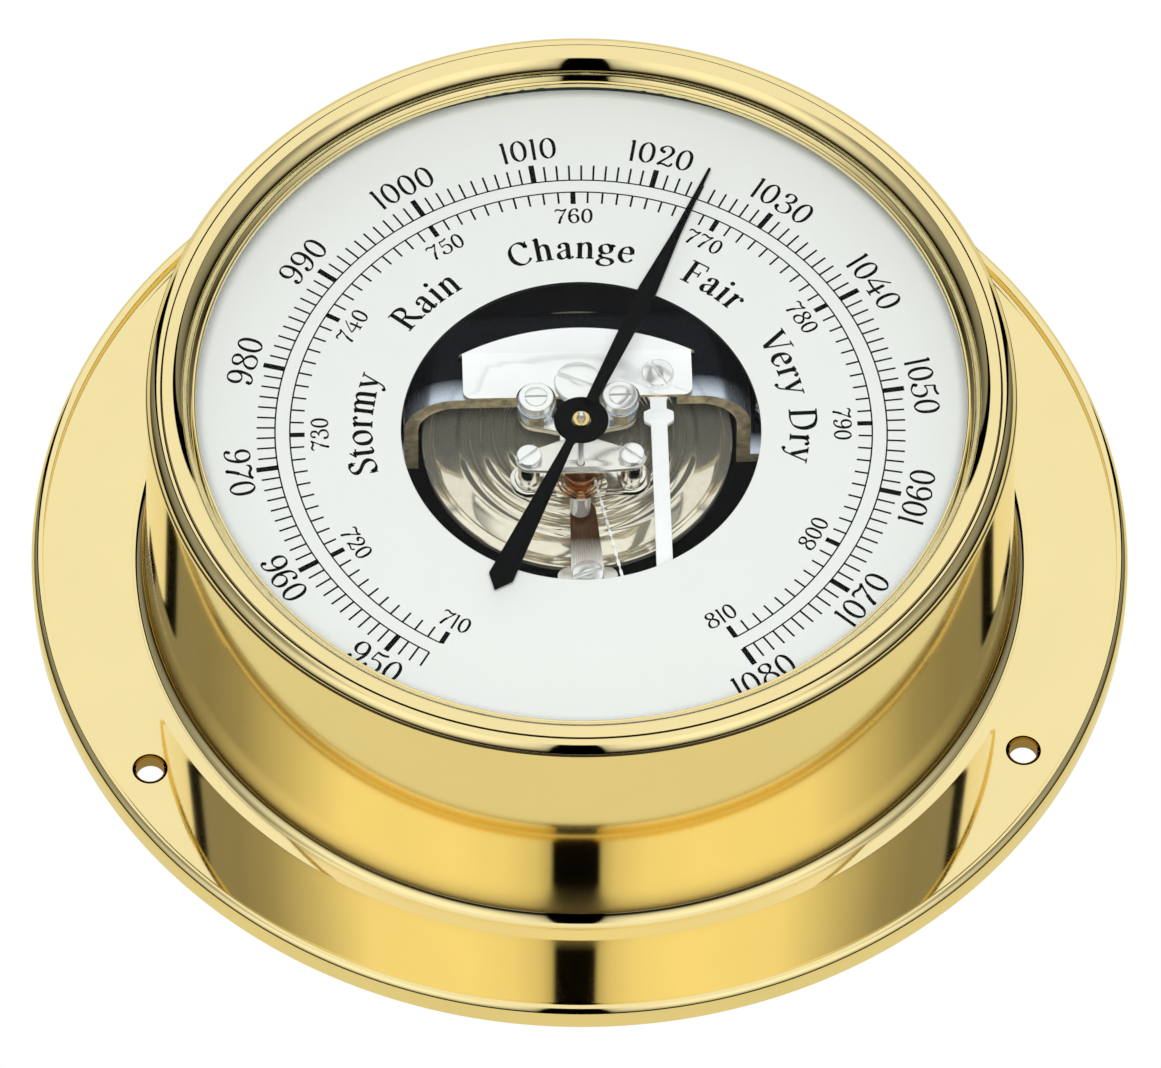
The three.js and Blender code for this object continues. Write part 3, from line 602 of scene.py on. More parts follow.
def case_shell():
    """A wall that widens downwards, a coved foot with a low ramp, and a flat flange with a rolled rim."""
    rim = FLANGE_R - BEAD_R
    foot = FOOT_R + 0.05 + COVE_R * math.sin(math.radians(62))
    ramp_rise = RAMP_W * math.tan(math.radians(RAMP_TILT))
    profile = [
        (BORE_R, 0),
        (FLANGE_R - 0.1, 0),
        (FLANGE_R, 0.1),
        *arc(rim, RIM_TOP - BEAD_R, BEAD_R, 0, 100, 24),
        (rim - 0.18, FLANGE_T + 0.03),
        (rim - 0.24, FLANGE_T),
        (rim - 0.6, FLANGE_T),
        (foot + RAMP_W + 0.6, FLANGE_T),
        *arc(foot + RAMP_W + 0.25, FLANGE_T + 1, 1, 270, 270 - RAMP_TILT, 6),
        *arc(foot + 0.05, FLANGE_T + ramp_rise + 0.6, 0.6, 257, 268, 3),
        *arc(foot, FLANGE_T + ramp_rise + COVE_R - 0.06, COVE_R, 266, 208, 28),
        (FOOT_R, FLANGE_T + ramp_rise + COVE_R * 0.53),
        (DRUM_R, DRUM_TOP - 0.06),
        (DRUM_R - 0.06, DRUM_TOP),
        (BORE_R, DRUM_TOP),
    ]
    cutter = [(0, -1), (HOLE_R, -1), (HOLE_R, FLANGE_T - 0.15), (HOLE_R + 0.2, FLANGE_T + 0.05), (HOLE_R + 0.2, 4), (0, 4)]
    holes = [lathe(cutter, on_circle(HOLE_CIRCLE_R, degrees), SMALL) for degrees in (0, 120, 240)]
    return combined(lathe(profile), cut=holes)


def bezel():
    """A rolled outer edge, a fine groove, then a face that rolls over and drops to a sloping lip."""
    edge = (DRUM_R + 0.25 - EDGE_R, CREST - 0.12 - EDGE_R)
    crown = (GROOVE_R - GROOVE_W / 2, CREST - 0.02 - 2.6, 2.6)
    roll = (40.85, CREST - 0.1 - 2.13, 2.2)
    lip = (LIP_R + 0.2, CREST - 2.27, 0.2)
    profile = [
        (GLASS_R + 0.1, GLASS_BOTTOM + 0.05),
        (BORE_R - 0.05, GLASS_BOTTOM + 0.05),
        (BORE_R - 0.05, DRUM_TOP + 0.05),
        (DRUM_R - 0.1, DRUM_TOP + 0.05),
        *arc(*edge, EDGE_R, 4, 82, 32),
        (GROOVE_R + GROOVE_W / 2, CREST - 0.18),
        (GROOVE_R + GROOVE_W / 2, CREST - 0.6),
        (GROOVE_R - GROOVE_W / 2, CREST - 0.6),
        (GROOVE_R - GROOVE_W / 2, CREST - 0.08),
        *arc(*crown, 93, 101, 6),
        *arc(*roll, 106, 166, 24),
        (38.62, CREST - 1.83),
        (LIP_R + 0.35, CREST - 2.0),
        *arc(*lip, 60, 200, 10),
        (LIP_R + 0.05, GLASS_TOP + 0.05),
        (GLASS_R + 0.1, GLASS_TOP + 0.05),
    ]
    return lathe(profile)


def ring(inner, outer, bottom, top, chamfer):
    return lathe(
        [
            (inner + chamfer, bottom),
            (outer - chamfer, bottom),
            (outer, bottom + chamfer),
            (outer, top - chamfer),
            (outer - chamfer, top),
            (inner + chamfer, top),
            (inner, top - chamfer),
            (inner, bottom + chamfer),
        ]
    )


def build_case():
    wall = fine("case_shell", case_shell(), BRASS)
    paint_faces(wall, WALL_BRASS, lambda centre, normal: abs(normal.z) < 0.1 and centre.xy.length < FOOT_R + 0.05)
    rim = fine("bezel", bezel(), BRASS)
    # Painted shade in the groove and in a thin band low on the rolled outer edge.
    paint_faces(rim, PAINTED_SHADE_BRASS, lambda centre, normal: abs(centre.xy.length - GROOVE_R) < GROOVE_W * 0.6)
    paint_faces(rim, PAINTED_SHADE_BRASS, lambda centre, normal: 0.27 < normal.z < 0.47 and centre.xy.length > DRUM_R - 0.1)
    glass_edge = 0.15
    glass = [
        (0, GLASS_BOTTOM),
        (GLASS_R - glass_edge, GLASS_BOTTOM),
        (GLASS_R, GLASS_BOTTOM + glass_edge),
        (GLASS_R, GLASS_TOP - glass_edge),
        (GLASS_R - glass_edge, GLASS_TOP),
        (0, GLASS_TOP),
    ]
    fine("glass", lathe(glass), GLASS)
    spacer = ring(low("glass").x * -1 + 0.1, BORE_R - 0.1, DIAL_TOP + 0.05, GLASS_BOTTOM - 0.05, 0.04)
    fine("spacer_ring", spacer, BLACK_PLASTIC_TEAL_REFLECTION)
    dial = fine("dial", ring(DIAL_HOLE_R, BORE_R - 0.1, DIAL_BOTTOM, DIAL_TOP, 0.04), DIAL_WHITE)
    paint_faces(dial, BLACK_PAINT, lambda centre, normal: normal.z < 0.5 and centre.xy.length < DIAL_HOLE_R + 1)
    keep_cad("inner_sleeve", BLACK_PLASTIC_TEAL_REFLECTION)
    keep_cad("back_cover", BLACK_PAINT)
    for i in (1, 2, 3):
        keep_cad(f"cover_screw_{i}", STEEL)
        keep_cad(f"movement_screw_{i}", STEEL)


# ---------------------------------------------------------------- dial print

INK_TOP = DIAL_TOP + 0.02
INNER_LINE_R = 28.76
OUTER_LINE_R = 30.23
MMHG = {"first": 710, "last": 810, "zero": 760, "degrees": 3.0}
MBAR = {"first": 947, "last": 1080, "zero": 1013.25, "degrees": 2.25}


def scale_angle(scale, value):
    return (value - scale["zero"]) * scale["degrees"]


def ink_mesh(shapes):
    """One flat mesh from ribbons (pairs of edge points) and polygons, all as (x, y) points in mm."""
    bm = bmesh.new()
    for kind, points in shapes:
        if kind == "ribbon":
            corners = [[bm.verts.new((x, y, INK_TOP)) for x, y in pair] for pair in points]
            for first, second in zip(corners, corners[1:]):
                bm.faces.new([first[0], first[1], second[1], second[0]])
        else:
            bm.faces.new([bm.verts.new((x, y, INK_TOP)) for x, y in points])
    mesh = finish_mesh(bm)
    for polygon in mesh.polygons:
        if polygon.normal.z < 0:
            mesh.flip_normals()
            break
    return mesh


def tick(degrees, inner, outer, width):
    """A straight mark across the scale."""
    angle = math.radians(degrees)
    out = Vector((math.sin(angle), math.cos(angle)))
    side = Vector((out.y, -out.x)) * width / 2
    return ("ribbon", [(out * inner - side, out * inner + side), (out * outer - side, out * outer + side)])


def scale_line(radius, start, end, width):
    pairs = []
    steps = 240
    for i in range(steps + 1):
        degrees = start + (end - start) * i / steps
        pairs.append((on_circle(radius - width / 2, degrees), on_circle(radius + width / 2, degrees)))
    return ("ribbon", pairs)


def scale_marks():
    shapes = []
    line_w = 0.15
    for scale, radius, thin_end, thick_end, thin_w, thick_w in (
        (MMHG, INNER_LINE_R, 27.4, 27.3, 0.2, 0.52),
        (MBAR, OUTER_LINE_R, 32.05, 32.38, 0.2, 0.56),
    ):
        ends = [scale_angle(scale, scale[key]) for key in ("first", "last")]
        shapes.append(scale_line(radius, *ends, line_w))
        for value in range(scale["first"], scale["last"] + 1):
            thick = value % 10 == 0
            end = thick_end if thick else thin_end
            shapes.append(tick(scale_angle(scale, value), radius, end, thick_w if thick else thin_w))
    return ink_mesh(shapes)


# Letters are drawn as a pen would: each stroke is a centre line, and the pen's nib makes it wide or narrow.
# The unit is the height of a figure or a capital. A stroke is (points, width); the width "pen" follows the
# direction of the stroke. A dot is (x, y, radius).

ROUND_O = [(0.5, 0.02), (0.74, 0.18), (0.81, 0.5), (0.74, 0.82), (0.5, 0.98), (0.26, 0.82), (0.19, 0.5), (0.26, 0.18)]
THIN = 0.055


def figure_strokes():
    """Figures: {character: (advance, closed strokes, open strokes, straight strokes, dots)}."""
    zero = [(0.37 + (x - 0.5) * 0.78, y * 0.955 + 0.022) for x, y in ROUND_O]
    return {
        "0": (0.73, [zero], [], [], []),
        "1": (0.38, [], [], [([(0.2, 0), (0.2, 0.99)], 0.125), ([(0.2, 0.955), (0.1, 0.915)], 0.07)], []),
        "2": (
            0.72,
            [],
            [
                [(0.25, 0.64), (0.15, 0.7), (0.15, 0.84), (0.33, 0.965), (0.52, 0.9), (0.59, 0.72), (0.48, 0.48)],
                [(0.48, 0.48), (0.3, 0.28), (0.12, 0.06)],
            ],
            [
                ([(0.12, 0.04), (0.24, 0.11), (0.38, 0.1), (0.52, 0.06), (0.62, 0.1), (0.66, 0.22)], 0.09),
            ],
            [(0.24, 0.67, 0.075)],
        ),
        "3": (
            0.76,
            [],
            [
                [(0.17, 0.8), (0.26, 0.93), (0.4, 0.965), (0.55, 0.88), (0.56, 0.7), (0.44, 0.57), (0.3, 0.53)],
                [(0.3, 0.53), (0.5, 0.5), (0.64, 0.36), (0.62, 0.14), (0.42, 0.02), (0.22, 0.05), (0.1, 0.2)],
            ],
            [],
            [(0.2, 0.77, 0.075), (0.14, 0.2, 0.085)],
        ),
        "4": (
            0.86,
            [],
            [],
            [
                ([(0.6, 1.0), (0.3, 0.66), (0.05, 0.32)], 0.065),
                ([(0.05, 0.33), (0.25, 0.3), (0.5, 0.3), (0.7, 0.34), (0.8, 0.38)], 0.085),
                ([(0.56, 0.7), (0.56, 0.04)], 0.13),
                ([(0.42, 0.03), (0.7, 0.03)], 0.06),
                ([(0.5, 0.58), (0.58, 0.72)], 0.06),
            ],
            [],
        ),
        "5": (
            0.76,
            [],
            [[(0.2, 0.53), (0.36, 0.6), (0.56, 0.55), (0.65, 0.33), (0.55, 0.09), (0.34, 0.02), (0.14, 0.1), (0.09, 0.2)]],
            [
                ([(0.22, 0.93), (0.19, 0.53)], 0.06),
                ([(0.21, 0.92), (0.36, 0.9), (0.5, 0.92), (0.66, 0.99)], 0.1),
            ],
            [(0.13, 0.21, 0.08)],
        ),
        "6": (
            0.72,
            [],
            [
                [(0.58, 0.84), (0.5, 0.95), (0.36, 0.965), (0.2, 0.83), (0.12, 0.55), (0.12, 0.3), (0.22, 0.08)],
                [(0.22, 0.08), (0.36, 0.02), (0.54, 0.1), (0.61, 0.3), (0.54, 0.5), (0.38, 0.58), (0.22, 0.52), (0.13, 0.4)],
            ],
            [],
            [(0.55, 0.82, 0.07)],
        ),
        "7": (
            0.74,
            [],
            [],
            [
                ([(0.09, 0.8), (0.12, 0.95)], 0.06),
                ([(0.12, 0.91), (0.26, 0.95), (0.42, 0.88), (0.56, 0.88), (0.72, 0.97)], 0.11),
                ([(0.72, 0.97), (0.56, 0.7), (0.42, 0.45)], 0.075),
                ([(0.44, 0.49), (0.34, 0.28), (0.28, 0.05)], 0.14),
            ],
            [(0.28, 0.07, 0.085)],
        ),
        "8": (
            0.76,
            [
                [(0.4, 0.965), (0.23, 0.9), (0.2, 0.73), (0.34, 0.59), (0.55, 0.47), (0.66, 0.27), (0.56, 0.07)]
                + [(0.36, 0.02), (0.15, 0.1), (0.12, 0.3), (0.25, 0.48), (0.46, 0.57), (0.6, 0.73), (0.56, 0.9)]
            ],
            [],
            [],
            [],
        ),
        "9": (
            0.72,
            [],
            [
                [(0.6, 0.62), (0.5, 0.49), (0.34, 0.43), (0.18, 0.5), (0.12, 0.7), (0.2, 0.91), (0.36, 0.975)]
                + [(0.52, 0.9), (0.6, 0.7), (0.6, 0.45), (0.5, 0.16), (0.33, 0.03), (0.18, 0.05), (0.12, 0.17)]
            ],
            [],
            [(0.17, 0.18, 0.075)],
        ),
    }


STEM = 0.165


def serif(x, y, left=0.14, right=0.14):
    return ([(x - left, y), (x + right, y)], 0.055)


def flag(x, y):
    """The slanted serif at the top of a small letter's stem."""
    return ([(x + 0.06, y - 0.02), (x - 0.12, y - 0.08)], 0.075)


def arch(x):
    """From one stem over to the next, as in n, h and m."""
    return [(x, 0.5), (x + 0.09, 0.63), (x + 0.21, 0.69), (x + 0.33, 0.62), (x + 0.36, 0.46)]


def small_stem(x, top=0.7):
    return [([(x, 0.02), (x, top - 0.03)], STEM), serif(x, 0.028), flag(x, top)]


def letter_strokes():
    """Letters, in the same form as the figures."""
    return {
        "S": (
            0.72,
            [],
            [
                [(0.56, 0.8), (0.5, 0.92), (0.36, 0.97), (0.2, 0.9), (0.15, 0.76), (0.24, 0.62), (0.4, 0.52), (0.56, 0.4)]
                + [(0.62, 0.24), (0.54, 0.08), (0.36, 0.02), (0.2, 0.07), (0.1, 0.22)]
            ],
            [([(0.57, 0.99), (0.57, 0.72)], 0.05), ([(0.09, 0.0), (0.09, 0.3)], 0.05)],
            [],
        ),
        "t": (
            0.48,
            [],
            [[(0.2, 0.18), (0.23, 0.06), (0.33, 0.03), (0.42, 0.1)]],
            [([(0.2, 0.16), (0.2, 0.74)], STEM), ([(0.04, 0.655), (0.4, 0.655)], 0.06), ([(0.05, 0.65), (0.24, 0.86)], 0.06)],
            [],
        ),
        "o": (0.7, [[(0.34 + (x - 0.5) * 0.82, y * 0.68 + 0.01) for x, y in ROUND_O]], [], [], []),
        "r": (
            0.55,
            [],
            [[(0.19, 0.45), (0.27, 0.6), (0.38, 0.67), (0.46, 0.66)]],
            small_stem(0.19),
            [(0.46, 0.61, 0.075)],
        ),
        "m": (
            1.1,
            [],
            [arch(0.19), arch(0.55)],
            small_stem(0.19) + [([(x, 0.02), (x, 0.48)], STEM) for x in (0.55, 0.91)] + [serif(x, 0.028) for x in (0.55, 0.91)],
            [],
        ),
        "y": (
            0.7,
            [],
            [],
            [
                ([(0.13, 0.67), (0.36, 0.1)], 0.15),
                ([(0.58, 0.67), (0.36, 0.06), (0.27, -0.14), (0.14, -0.21)], 0.065),
                serif(0.13, 0.672, 0.13, 0.13),
                serif(0.58, 0.672, 0.11, 0.11),
            ],
            [(0.13, -0.19, 0.075)],
        ),
        "R": (
            0.98,
            [],
            [[(0.22, 0.965), (0.42, 0.96), (0.6, 0.86), (0.62, 0.68), (0.48, 0.54), (0.22, 0.52)]],
            [
                ([(0.22, 0.02), (0.22, 0.98)], STEM),
                serif(0.22, 0.028, 0.17, 0.17),
                serif(0.22, 0.972, 0.17, 0.1),
                ([(0.44, 0.52), (0.64, 0.22), (0.82, 0.04)], 0.155),
                ([(0.74, 0.028), (0.97, 0.028)], 0.055),
            ],
            [],
        ),
        "a": (
            0.66,
            [],
            [
                [(0.13, 0.55), (0.2, 0.65), (0.32, 0.685), (0.43, 0.62), (0.45, 0.46)],
                [(0.45, 0.42), (0.27, 0.36), (0.13, 0.26), (0.13, 0.1), (0.24, 0.02), (0.36, 0.07), (0.45, 0.18)],
                [(0.45, 0.14), (0.49, 0.04), (0.56, 0.03), (0.62, 0.1)],
            ],
            [([(0.45, 0.12), (0.45, 0.48)], STEM)],
            [(0.16, 0.53, 0.075)],
        ),
        "i": (0.4, [], [], small_stem(0.2), [(0.19, 0.93, 0.09)]),
        "n": (
            0.78,
            [],
            [arch(0.19)],
            small_stem(0.19) + [([(0.55, 0.02), (0.55, 0.48)], STEM), serif(0.55, 0.028)],
            [],
        ),
        "C": (
            0.88,
            [],
            [
                [(0.74, 0.72), (0.66, 0.88), (0.5, 0.97), (0.3, 0.92), (0.15, 0.74), (0.11, 0.5), (0.16, 0.25)]
                + [(0.32, 0.07), (0.52, 0.02), (0.69, 0.1), (0.79, 0.24)]
            ],
            [([(0.755, 0.99), (0.755, 0.68)], 0.05)],
            [],
        ),
        "h": (
            0.78,
            [],
            [arch(0.19)],
            small_stem(0.19, 1.03) + [([(0.55, 0.02), (0.55, 0.48)], STEM), serif(0.55, 0.028)],
            [],
        ),
        "g": (
            0.7,
            [[(0.3 + (x - 0.5) * 0.62, y * 0.42 + 0.265) for x, y in ROUND_O]],
            [
                [(0.2, 0.27), (0.13, 0.19), (0.18, 0.11), (0.35, 0.08), (0.52, 0.03), (0.58, -0.09), (0.48, -0.21)]
                + [(0.3, -0.25), (0.12, -0.2), (0.07, -0.09), (0.15, 0.02), (0.26, 0.06)]
            ],
            [([(0.42, 0.6), (0.5, 0.67), (0.58, 0.66)], 0.06)],
            [(0.58, 0.63, 0.055)],
        ),
        "e": (
            0.64,
            [],
            [
                [(0.52, 0.4), (0.49, 0.58), (0.35, 0.685), (0.19, 0.61), (0.11, 0.4), (0.14, 0.17), (0.3, 0.03)]
                + [(0.46, 0.05), (0.57, 0.18)]
            ],
            [([(0.13, 0.39), (0.53, 0.4)], 0.055)],
            [],
        ),
        "F": (
            0.78,
            [],
            [],
            [
                ([(0.22, 0.02), (0.22, 0.98)], STEM),
                serif(0.22, 0.028, 0.17, 0.19),
                ([(0.05, 0.968), (0.7, 0.968)], 0.06),
                ([(0.69, 0.98), (0.715, 0.76)], 0.06),
                ([(0.22, 0.52), (0.54, 0.52)], 0.06),
                ([(0.55, 0.65), (0.55, 0.39)], 0.055),
            ],
            [],
        ),
        "V": (
            0.84,
            [],
            [],
            [
                ([(0.15, 0.97), (0.45, 0.04)], 0.165),
                ([(0.78, 0.97), (0.46, 0.0)], 0.065),
                serif(0.15, 0.972, 0.15, 0.17),
                serif(0.78, 0.972, 0.14, 0.13),
            ],
            [],
        ),
        "D": (
            1.04,
            [],
            [[(0.22, 0.965), (0.5, 0.955), (0.76, 0.83), (0.87, 0.5), (0.76, 0.17), (0.5, 0.045), (0.22, 0.035)]],
            [([(0.22, 0.02), (0.22, 0.98)], STEM), serif(0.22, 0.028, 0.17, 0.05), serif(0.22, 0.972, 0.17, 0.05)],
            [],
        ),
        " ": (0.5, [], [], [], []),
    }


def pen_width(direction, nib):
    """The width a slanted nib draws in a direction."""
    thick, thin, slant = nib
    across_nib = abs(math.sin(math.atan2(direction.y, direction.x) - math.radians(slant)))
    return thin + (thick - thin) * across_nib**1.8


def ribbon(points, width_at, closed=False):
    pairs = []
    count = len(points)
    for i, point in enumerate(points):
        if closed:
            direction = points[(i + 1) % count] - points[i - 1]
        else:
            direction = points[min(i + 1, count - 1)] - points[max(i - 1, 0)]
        direction.normalize()
        side = Vector((-direction.y, direction.x)) * width_at(direction) / 2
        pairs.append((point + side, point - side))
    if closed:
        pairs.append(pairs[0])
    return ("ribbon", pairs)


def glyph_shapes(glyph, nib):
    """A glyph's ribbons and dots in its own units."""
    closed_strokes, open_strokes, straight_strokes, dots = glyph[1:]
    shapes = []
    for points in closed_strokes:
        shapes.append(ribbon(smooth_line(points, 8, True), lambda way: pen_width(way, nib), True))
    for points in open_strokes:
        shapes.append(ribbon(smooth_line(points, 8), lambda way: pen_width(way, nib)))
    for points, width in straight_strokes:
        line = smooth_line(points, 5) if len(points) > 2 else [Vector(p) for p in points]
        shapes.append(ribbon(line, lambda way, width=width: width))
    for x, y, radius in dots:
        shapes.append(("dot", [Vector(p) for p in circle(x, y, radius, 20)]))
    return shapes


def curved_text(text, glyphs, nib, size, degrees, base_r, flipped=False, spread=0.0):
    """Text along the dial, centred at an angle. Flipped text has its tops towards the centre."""
    length = sum(glyphs[c][0] + spread for c in text) - spread
    shapes = []
    cursor = -length / 2
    turn = -1 if flipped else 1
    for character in text:
        glyph = glyphs[character]
        middle = (cursor + glyph[0] / 2) * size
        angle = math.radians(degrees) + turn * middle / (base_r + turn * size * 0.4)
        out = Vector((math.sin(angle), math.cos(angle)))
        right = Vector((out.y, -out.x)) * turn
        up = out * turn
        for kind, points in glyph_shapes(glyph, nib):

            def placed(p):
                return out * base_r + right * (p.x - glyph[0] / 2) * size + up * p.y * size

            if kind == "ribbon":
                shapes.append((kind, [(placed(a), placed(b)) for a, b in points]))
            else:
                shapes.append((kind, [placed(p) for p in points]))
        cursor += glyph[0] + spread
    return shapes


def scale_numbers(scale, size, nib, upright_base, flipped_base, upright):
    figures = figure_strokes()
    shapes = []
    first = math.ceil(scale["first"] / 10) * 10
    for value in range(first, scale["last"] + 1, 10):
        flipped = value not in upright
        base = flipped_base if flipped else upright_base
        shapes += curved_text(str(value), figures, nib, size, scale_angle(scale, value), base, flipped)
    return ink_mesh(shapes)


WORDS = (("Stormy", -86.9), ("Rain", -43.4), ("Change", -0.9), ("Fair", 39.0), ("Very Dry", 80.9))


def weather_words():
    letters = letter_strokes()
    shapes = []
    for word, degrees in WORDS:
        shapes += curved_text(word, letters, (0.17, 0.05, 22), 2.8, degrees, 20.6, spread=0.03)
    return ink_mesh(shapes)


def build_print():
    prints = {
        "dial_scale_marks": scale_marks(),
        "dial_outer_numbers": scale_numbers(MBAR, 2.65, (0.135, 0.05, 8), 33.0, 35.4, range(980, 1051)),
        "dial_inner_numbers": scale_numbers(MMHG, 1.8, (0.15, 0.07, 8), 24.95, 26.8, range(730, 791)),
        "dial_words": weather_words(),
    }
    for name, mesh in prints.items():
        piece(name, mesh, INK, "case")


# ---------------------------------------------------------------- movement

CAPSULE_Y = 10.2
LEVER_X = 8
TAB = (4.2, 8.7)
PILLAR = (5.1, 0.6)
SHAFT = (-19.0, 5.6)
BASE_TOP = high("base_plate").z
BRIDGE_TOP = 15.2
BRIDGE_T = 1.4
SPRING_BOTTOM = low("mainspring").z
SPRING_TOP = high("mainspring").z
COCK_BOTTOM = low("upper_cock").z
COCK_TOP = high("upper_cock").z
PLATE_BOTTOM = low("lower_plate").z
PLATE_TOP = high("lower_plate").z
POINTER_ANGLE = 24.5


def bridge():
    foot = BASE_TOP + 0.05
    leg, inner_leg, bend = 17.4, 16.0, 12.0
    drop = BRIDGE_TOP - (leg - bend)
    outline = [
        (inner_leg, foot),
        (22, foot),
        (22, foot + BRIDGE_T),
        (leg, foot + BRIDGE_T),
        *arc(bend, drop, leg - bend, 0, 90, 24),
        *arc(-bend, drop, leg - bend, 90, 180, 24),
        (-leg, foot + BRIDGE_T),
        (-22, foot + BRIDGE_T),
        (-22, foot),
        (-inner_leg, foot),
        *arc(-bend, drop, inner_leg - bend, 180, 90, 24),
        *arc(bend, drop, inner_leg - bend, 90, 0, 24),
    ]
    strap = along(outline, 9.2, 19.4)
    floor, roof = BRIDGE_TOP - BRIDGE_T, BRIDGE_TOP
    tabs = [lathe([(0, floor), (1.9, floor), (1.9, roof), (0, roof)], (side * TAB[0], TAB[1]), SMALL) for side in (-1, 1)]
    seat = box(-10, 10, 16.9, 19.4, roof - 0.2, SPRING_BOTTOM - 0.04)
    hole = lathe([(0, floor - 1), (2.4, floor - 1), (2.4, roof + 1), (0, roof + 1)], (0, CAPSULE_Y), SMALL)
    notch = box(LEVER_X - 1.9, LEVER_X + 1.9, 8, 13.4, floor - 1, roof + 1)
    return softened(combined(strap, cut=[hole, notch], add=[*tabs, seat]), 0.08)


def lower_plate():
    x, y = TAB
    outline = [
        *arc(*PILLAR, 1.9, -90, 100, 14),
        (1.9, 3.4),
        (1.9, 6.2),
        *arc(x, y, 1.9, -80, 90, 14),
        *arc(0, CAPSULE_Y, 2.4, 0, -180, 20),
        *arc(-x, y, 1.9, 90, 260, 14),
        (-1.9, 6.2),
        (-1.9, 3.4),
        *arc(-PILLAR[0], PILLAR[1], 1.9, 80, 270, 14),
        *arc(0, 0, 2.7, 207, -27, 24),
    ]
    holes = [circle(side * x, y, 0.9, 24) for side in (-1, 1)]
    return softened(flat(outline, PLATE_BOTTOM, PLATE_TOP, holes), 0.06)


def pillar(side):
    foot = PLATE_TOP + 0.05
    profile = [
        (0, foot),
        (1.4, foot),
        (1.45, foot + 0.05),
        (1.45, foot + 0.35),
        (1.4, foot + 0.4),
        (1.1, foot + 0.44),
        (1.1, COCK_BOTTOM - 0.1),
        (1.05, COCK_BOTTOM - 0.03),
        (0, COCK_BOTTOM - 0.03),
    ]
    return lathe(profile, (side * PILLAR[0], PILLAR[1]), SMALL)


def upper_cock():
    x, y = PILLAR
    outline = [
        (2, -0.95),
        *arc(x, y, 1.35, -75, 90, 14),
        (4, 1.95),
        (1.6, 2.9),
        (-1.6, 2.9),
        (-4, 1.95),
        *arc(-x, y, 1.35, 90, 255, 14),
        (-2, -0.95),
    ]
    holes = [circle(0, 0, 0.42, 24)]
    return softened(flat(outline, COCK_BOTTOM, COCK_TOP, holes), 0.05)


def lower_cock():
    x, y = 0.55, -7.9
    outline = [
        *arc(0.3, 0, 1.3, 0, 180, 16),
        (x - 1.65, y + 1),
        *arc(x, y - 0.3, 1.7, 170, 370, 20),
        (x + 1.65, y + 1),
    ]
    bottom = low("lower_cock").z
    return softened(flat(outline, bottom, high("lower_cock").z, [circle(0, 0, 0.28, 16)]), 0.06)


def lower_cock_post():
    x, y = 0.55, -7.9
    outline = [
        *arc(x + 2, y + 0.6, 1, 0, 90, 8),
        *arc(x - 2, y + 0.6, 1, 90, 180, 8),
        (x - 3, y - 4.4),
        (x + 3, y - 4.4),
    ]
    return softened(flat(outline, low("lower_cock_post").z, high("lower_cock_post").z), 0.12)


def build_frame():
    # The base plate is given black lacquer as painted shade for the dark depth round the capsule.
    keep_cad("base_plate", BLACK_PAINT)
    # The strap's rear is painted shade, near black.
    strap = fine("bridge", bridge(), STRAP_STEEL_SHADED_REAR)
    # The strap's front side faces get painted edge shade.
    paint_faces(strap, EDGE_PAINTED_SHADE, lambda centre, normal: normal.y < -0.9 and centre.y < 10)
    fine("lower_plate", lower_plate(), NICKEL)
    fine("upper_cock", upper_cock(), SATIN_NICKEL)
    for label, side in (("left", -1), ("right", 1)):
        foot = BASE_TOP + 0.08 + BRIDGE_T
        fine(f"bridge_screw_{label}", screw(side * 19.8, 14.3, foot, 1.7, 1, 10), STEEL)
        tab = shouldered_screw(side * TAB[0], TAB[1], BRIDGE_TOP + 0.03, 1.75, 1.1, 1.12)
        fine(f"plate_screw_{label}", tab, BRIGHT_STEEL)
        fine(f"pillar_{label}", pillar(side), NICKEL)
        top = screw(side * PILLAR[0], PILLAR[1], COCK_TOP + 0.03, 1.25, 0.75, -side * 40)
        fine(f"pillar_screw_{label}", top, BRIGHT_STEEL)
    # The strip's brown end is painted shade.
    fine("lower_cock", lower_cock(), STRIP_PAINTED_SHADE)
    fine("lower_cock_post", lower_cock_post(), SATIN_NICKEL)
    fine("lower_cock_screw", screw(0.55, -7.9, high("lower_cock").z + 0.03, 1.6, 0.75, 20), BRIGHT_STEEL)


def capsule_upper():
    """A corrugated diaphragm: a flat middle, four rings of waves and a smooth outer slope to the rim."""
    top = high("capsule_upper").z
    rim_r = 15.6
    rim_z = 6.65
    profile = [(0, top), (3.9, top)]
    wave_from, wave_to, waves = 4.4, 12.6, 3.5
    steps = 96
    for i in range(steps + 1):
        share = i / steps
        radius = wave_from + (wave_to - wave_from) * share
        wave = 0.27 * math.tanh(1.4 * math.cos(math.tau * waves * share))
        profile.append((radius, top - 0.3 - 1.0 * share + wave))
    profile += [
        (13.0, top - 1.62),
        (14.1, top - 1.86),
        (14.4, top - 2.0),
        (14.5, rim_z - 0.25),
        (14.75, rim_z - 0.25),
        (14.85, rim_z - 0.02),
        (15.0, rim_z),
        (rim_r - 0.12, rim_z),
        (rim_r, rim_z - 0.1),
        (rim_r, rim_z - 0.4),
    ]
    under = [(radius, z - 0.22) for radius, z in reversed(profile[:-1])]
    return lathe(profile + [(rim_r, rim_z - 0.5)] + under[1:], (0, CAPSULE_Y))


def capsule_lower():
    bottom = low("capsule_lower").z
    rim = high("capsule_lower").z
    profile = [
        (0, bottom),
        (4.2, bottom),
        (5.2, bottom + 0.5),
        (6.4, bottom + 0.3),
        (7.6, bottom + 0.9),
        (8.8, bottom + 0.7),
        (10.0, bottom + 1.3),
        (11.2, bottom + 1.1),
        (12.6, bottom + 1.7),
        (14.4, rim - 0.35),
        (15.6, rim - 0.15),
        (15.6, rim),
        (14.4, rim - 0.1),
        (12.6, bottom + 1.95),
        (0, bottom + 0.3),
    ]
    return lathe(profile, (0, CAPSULE_Y))


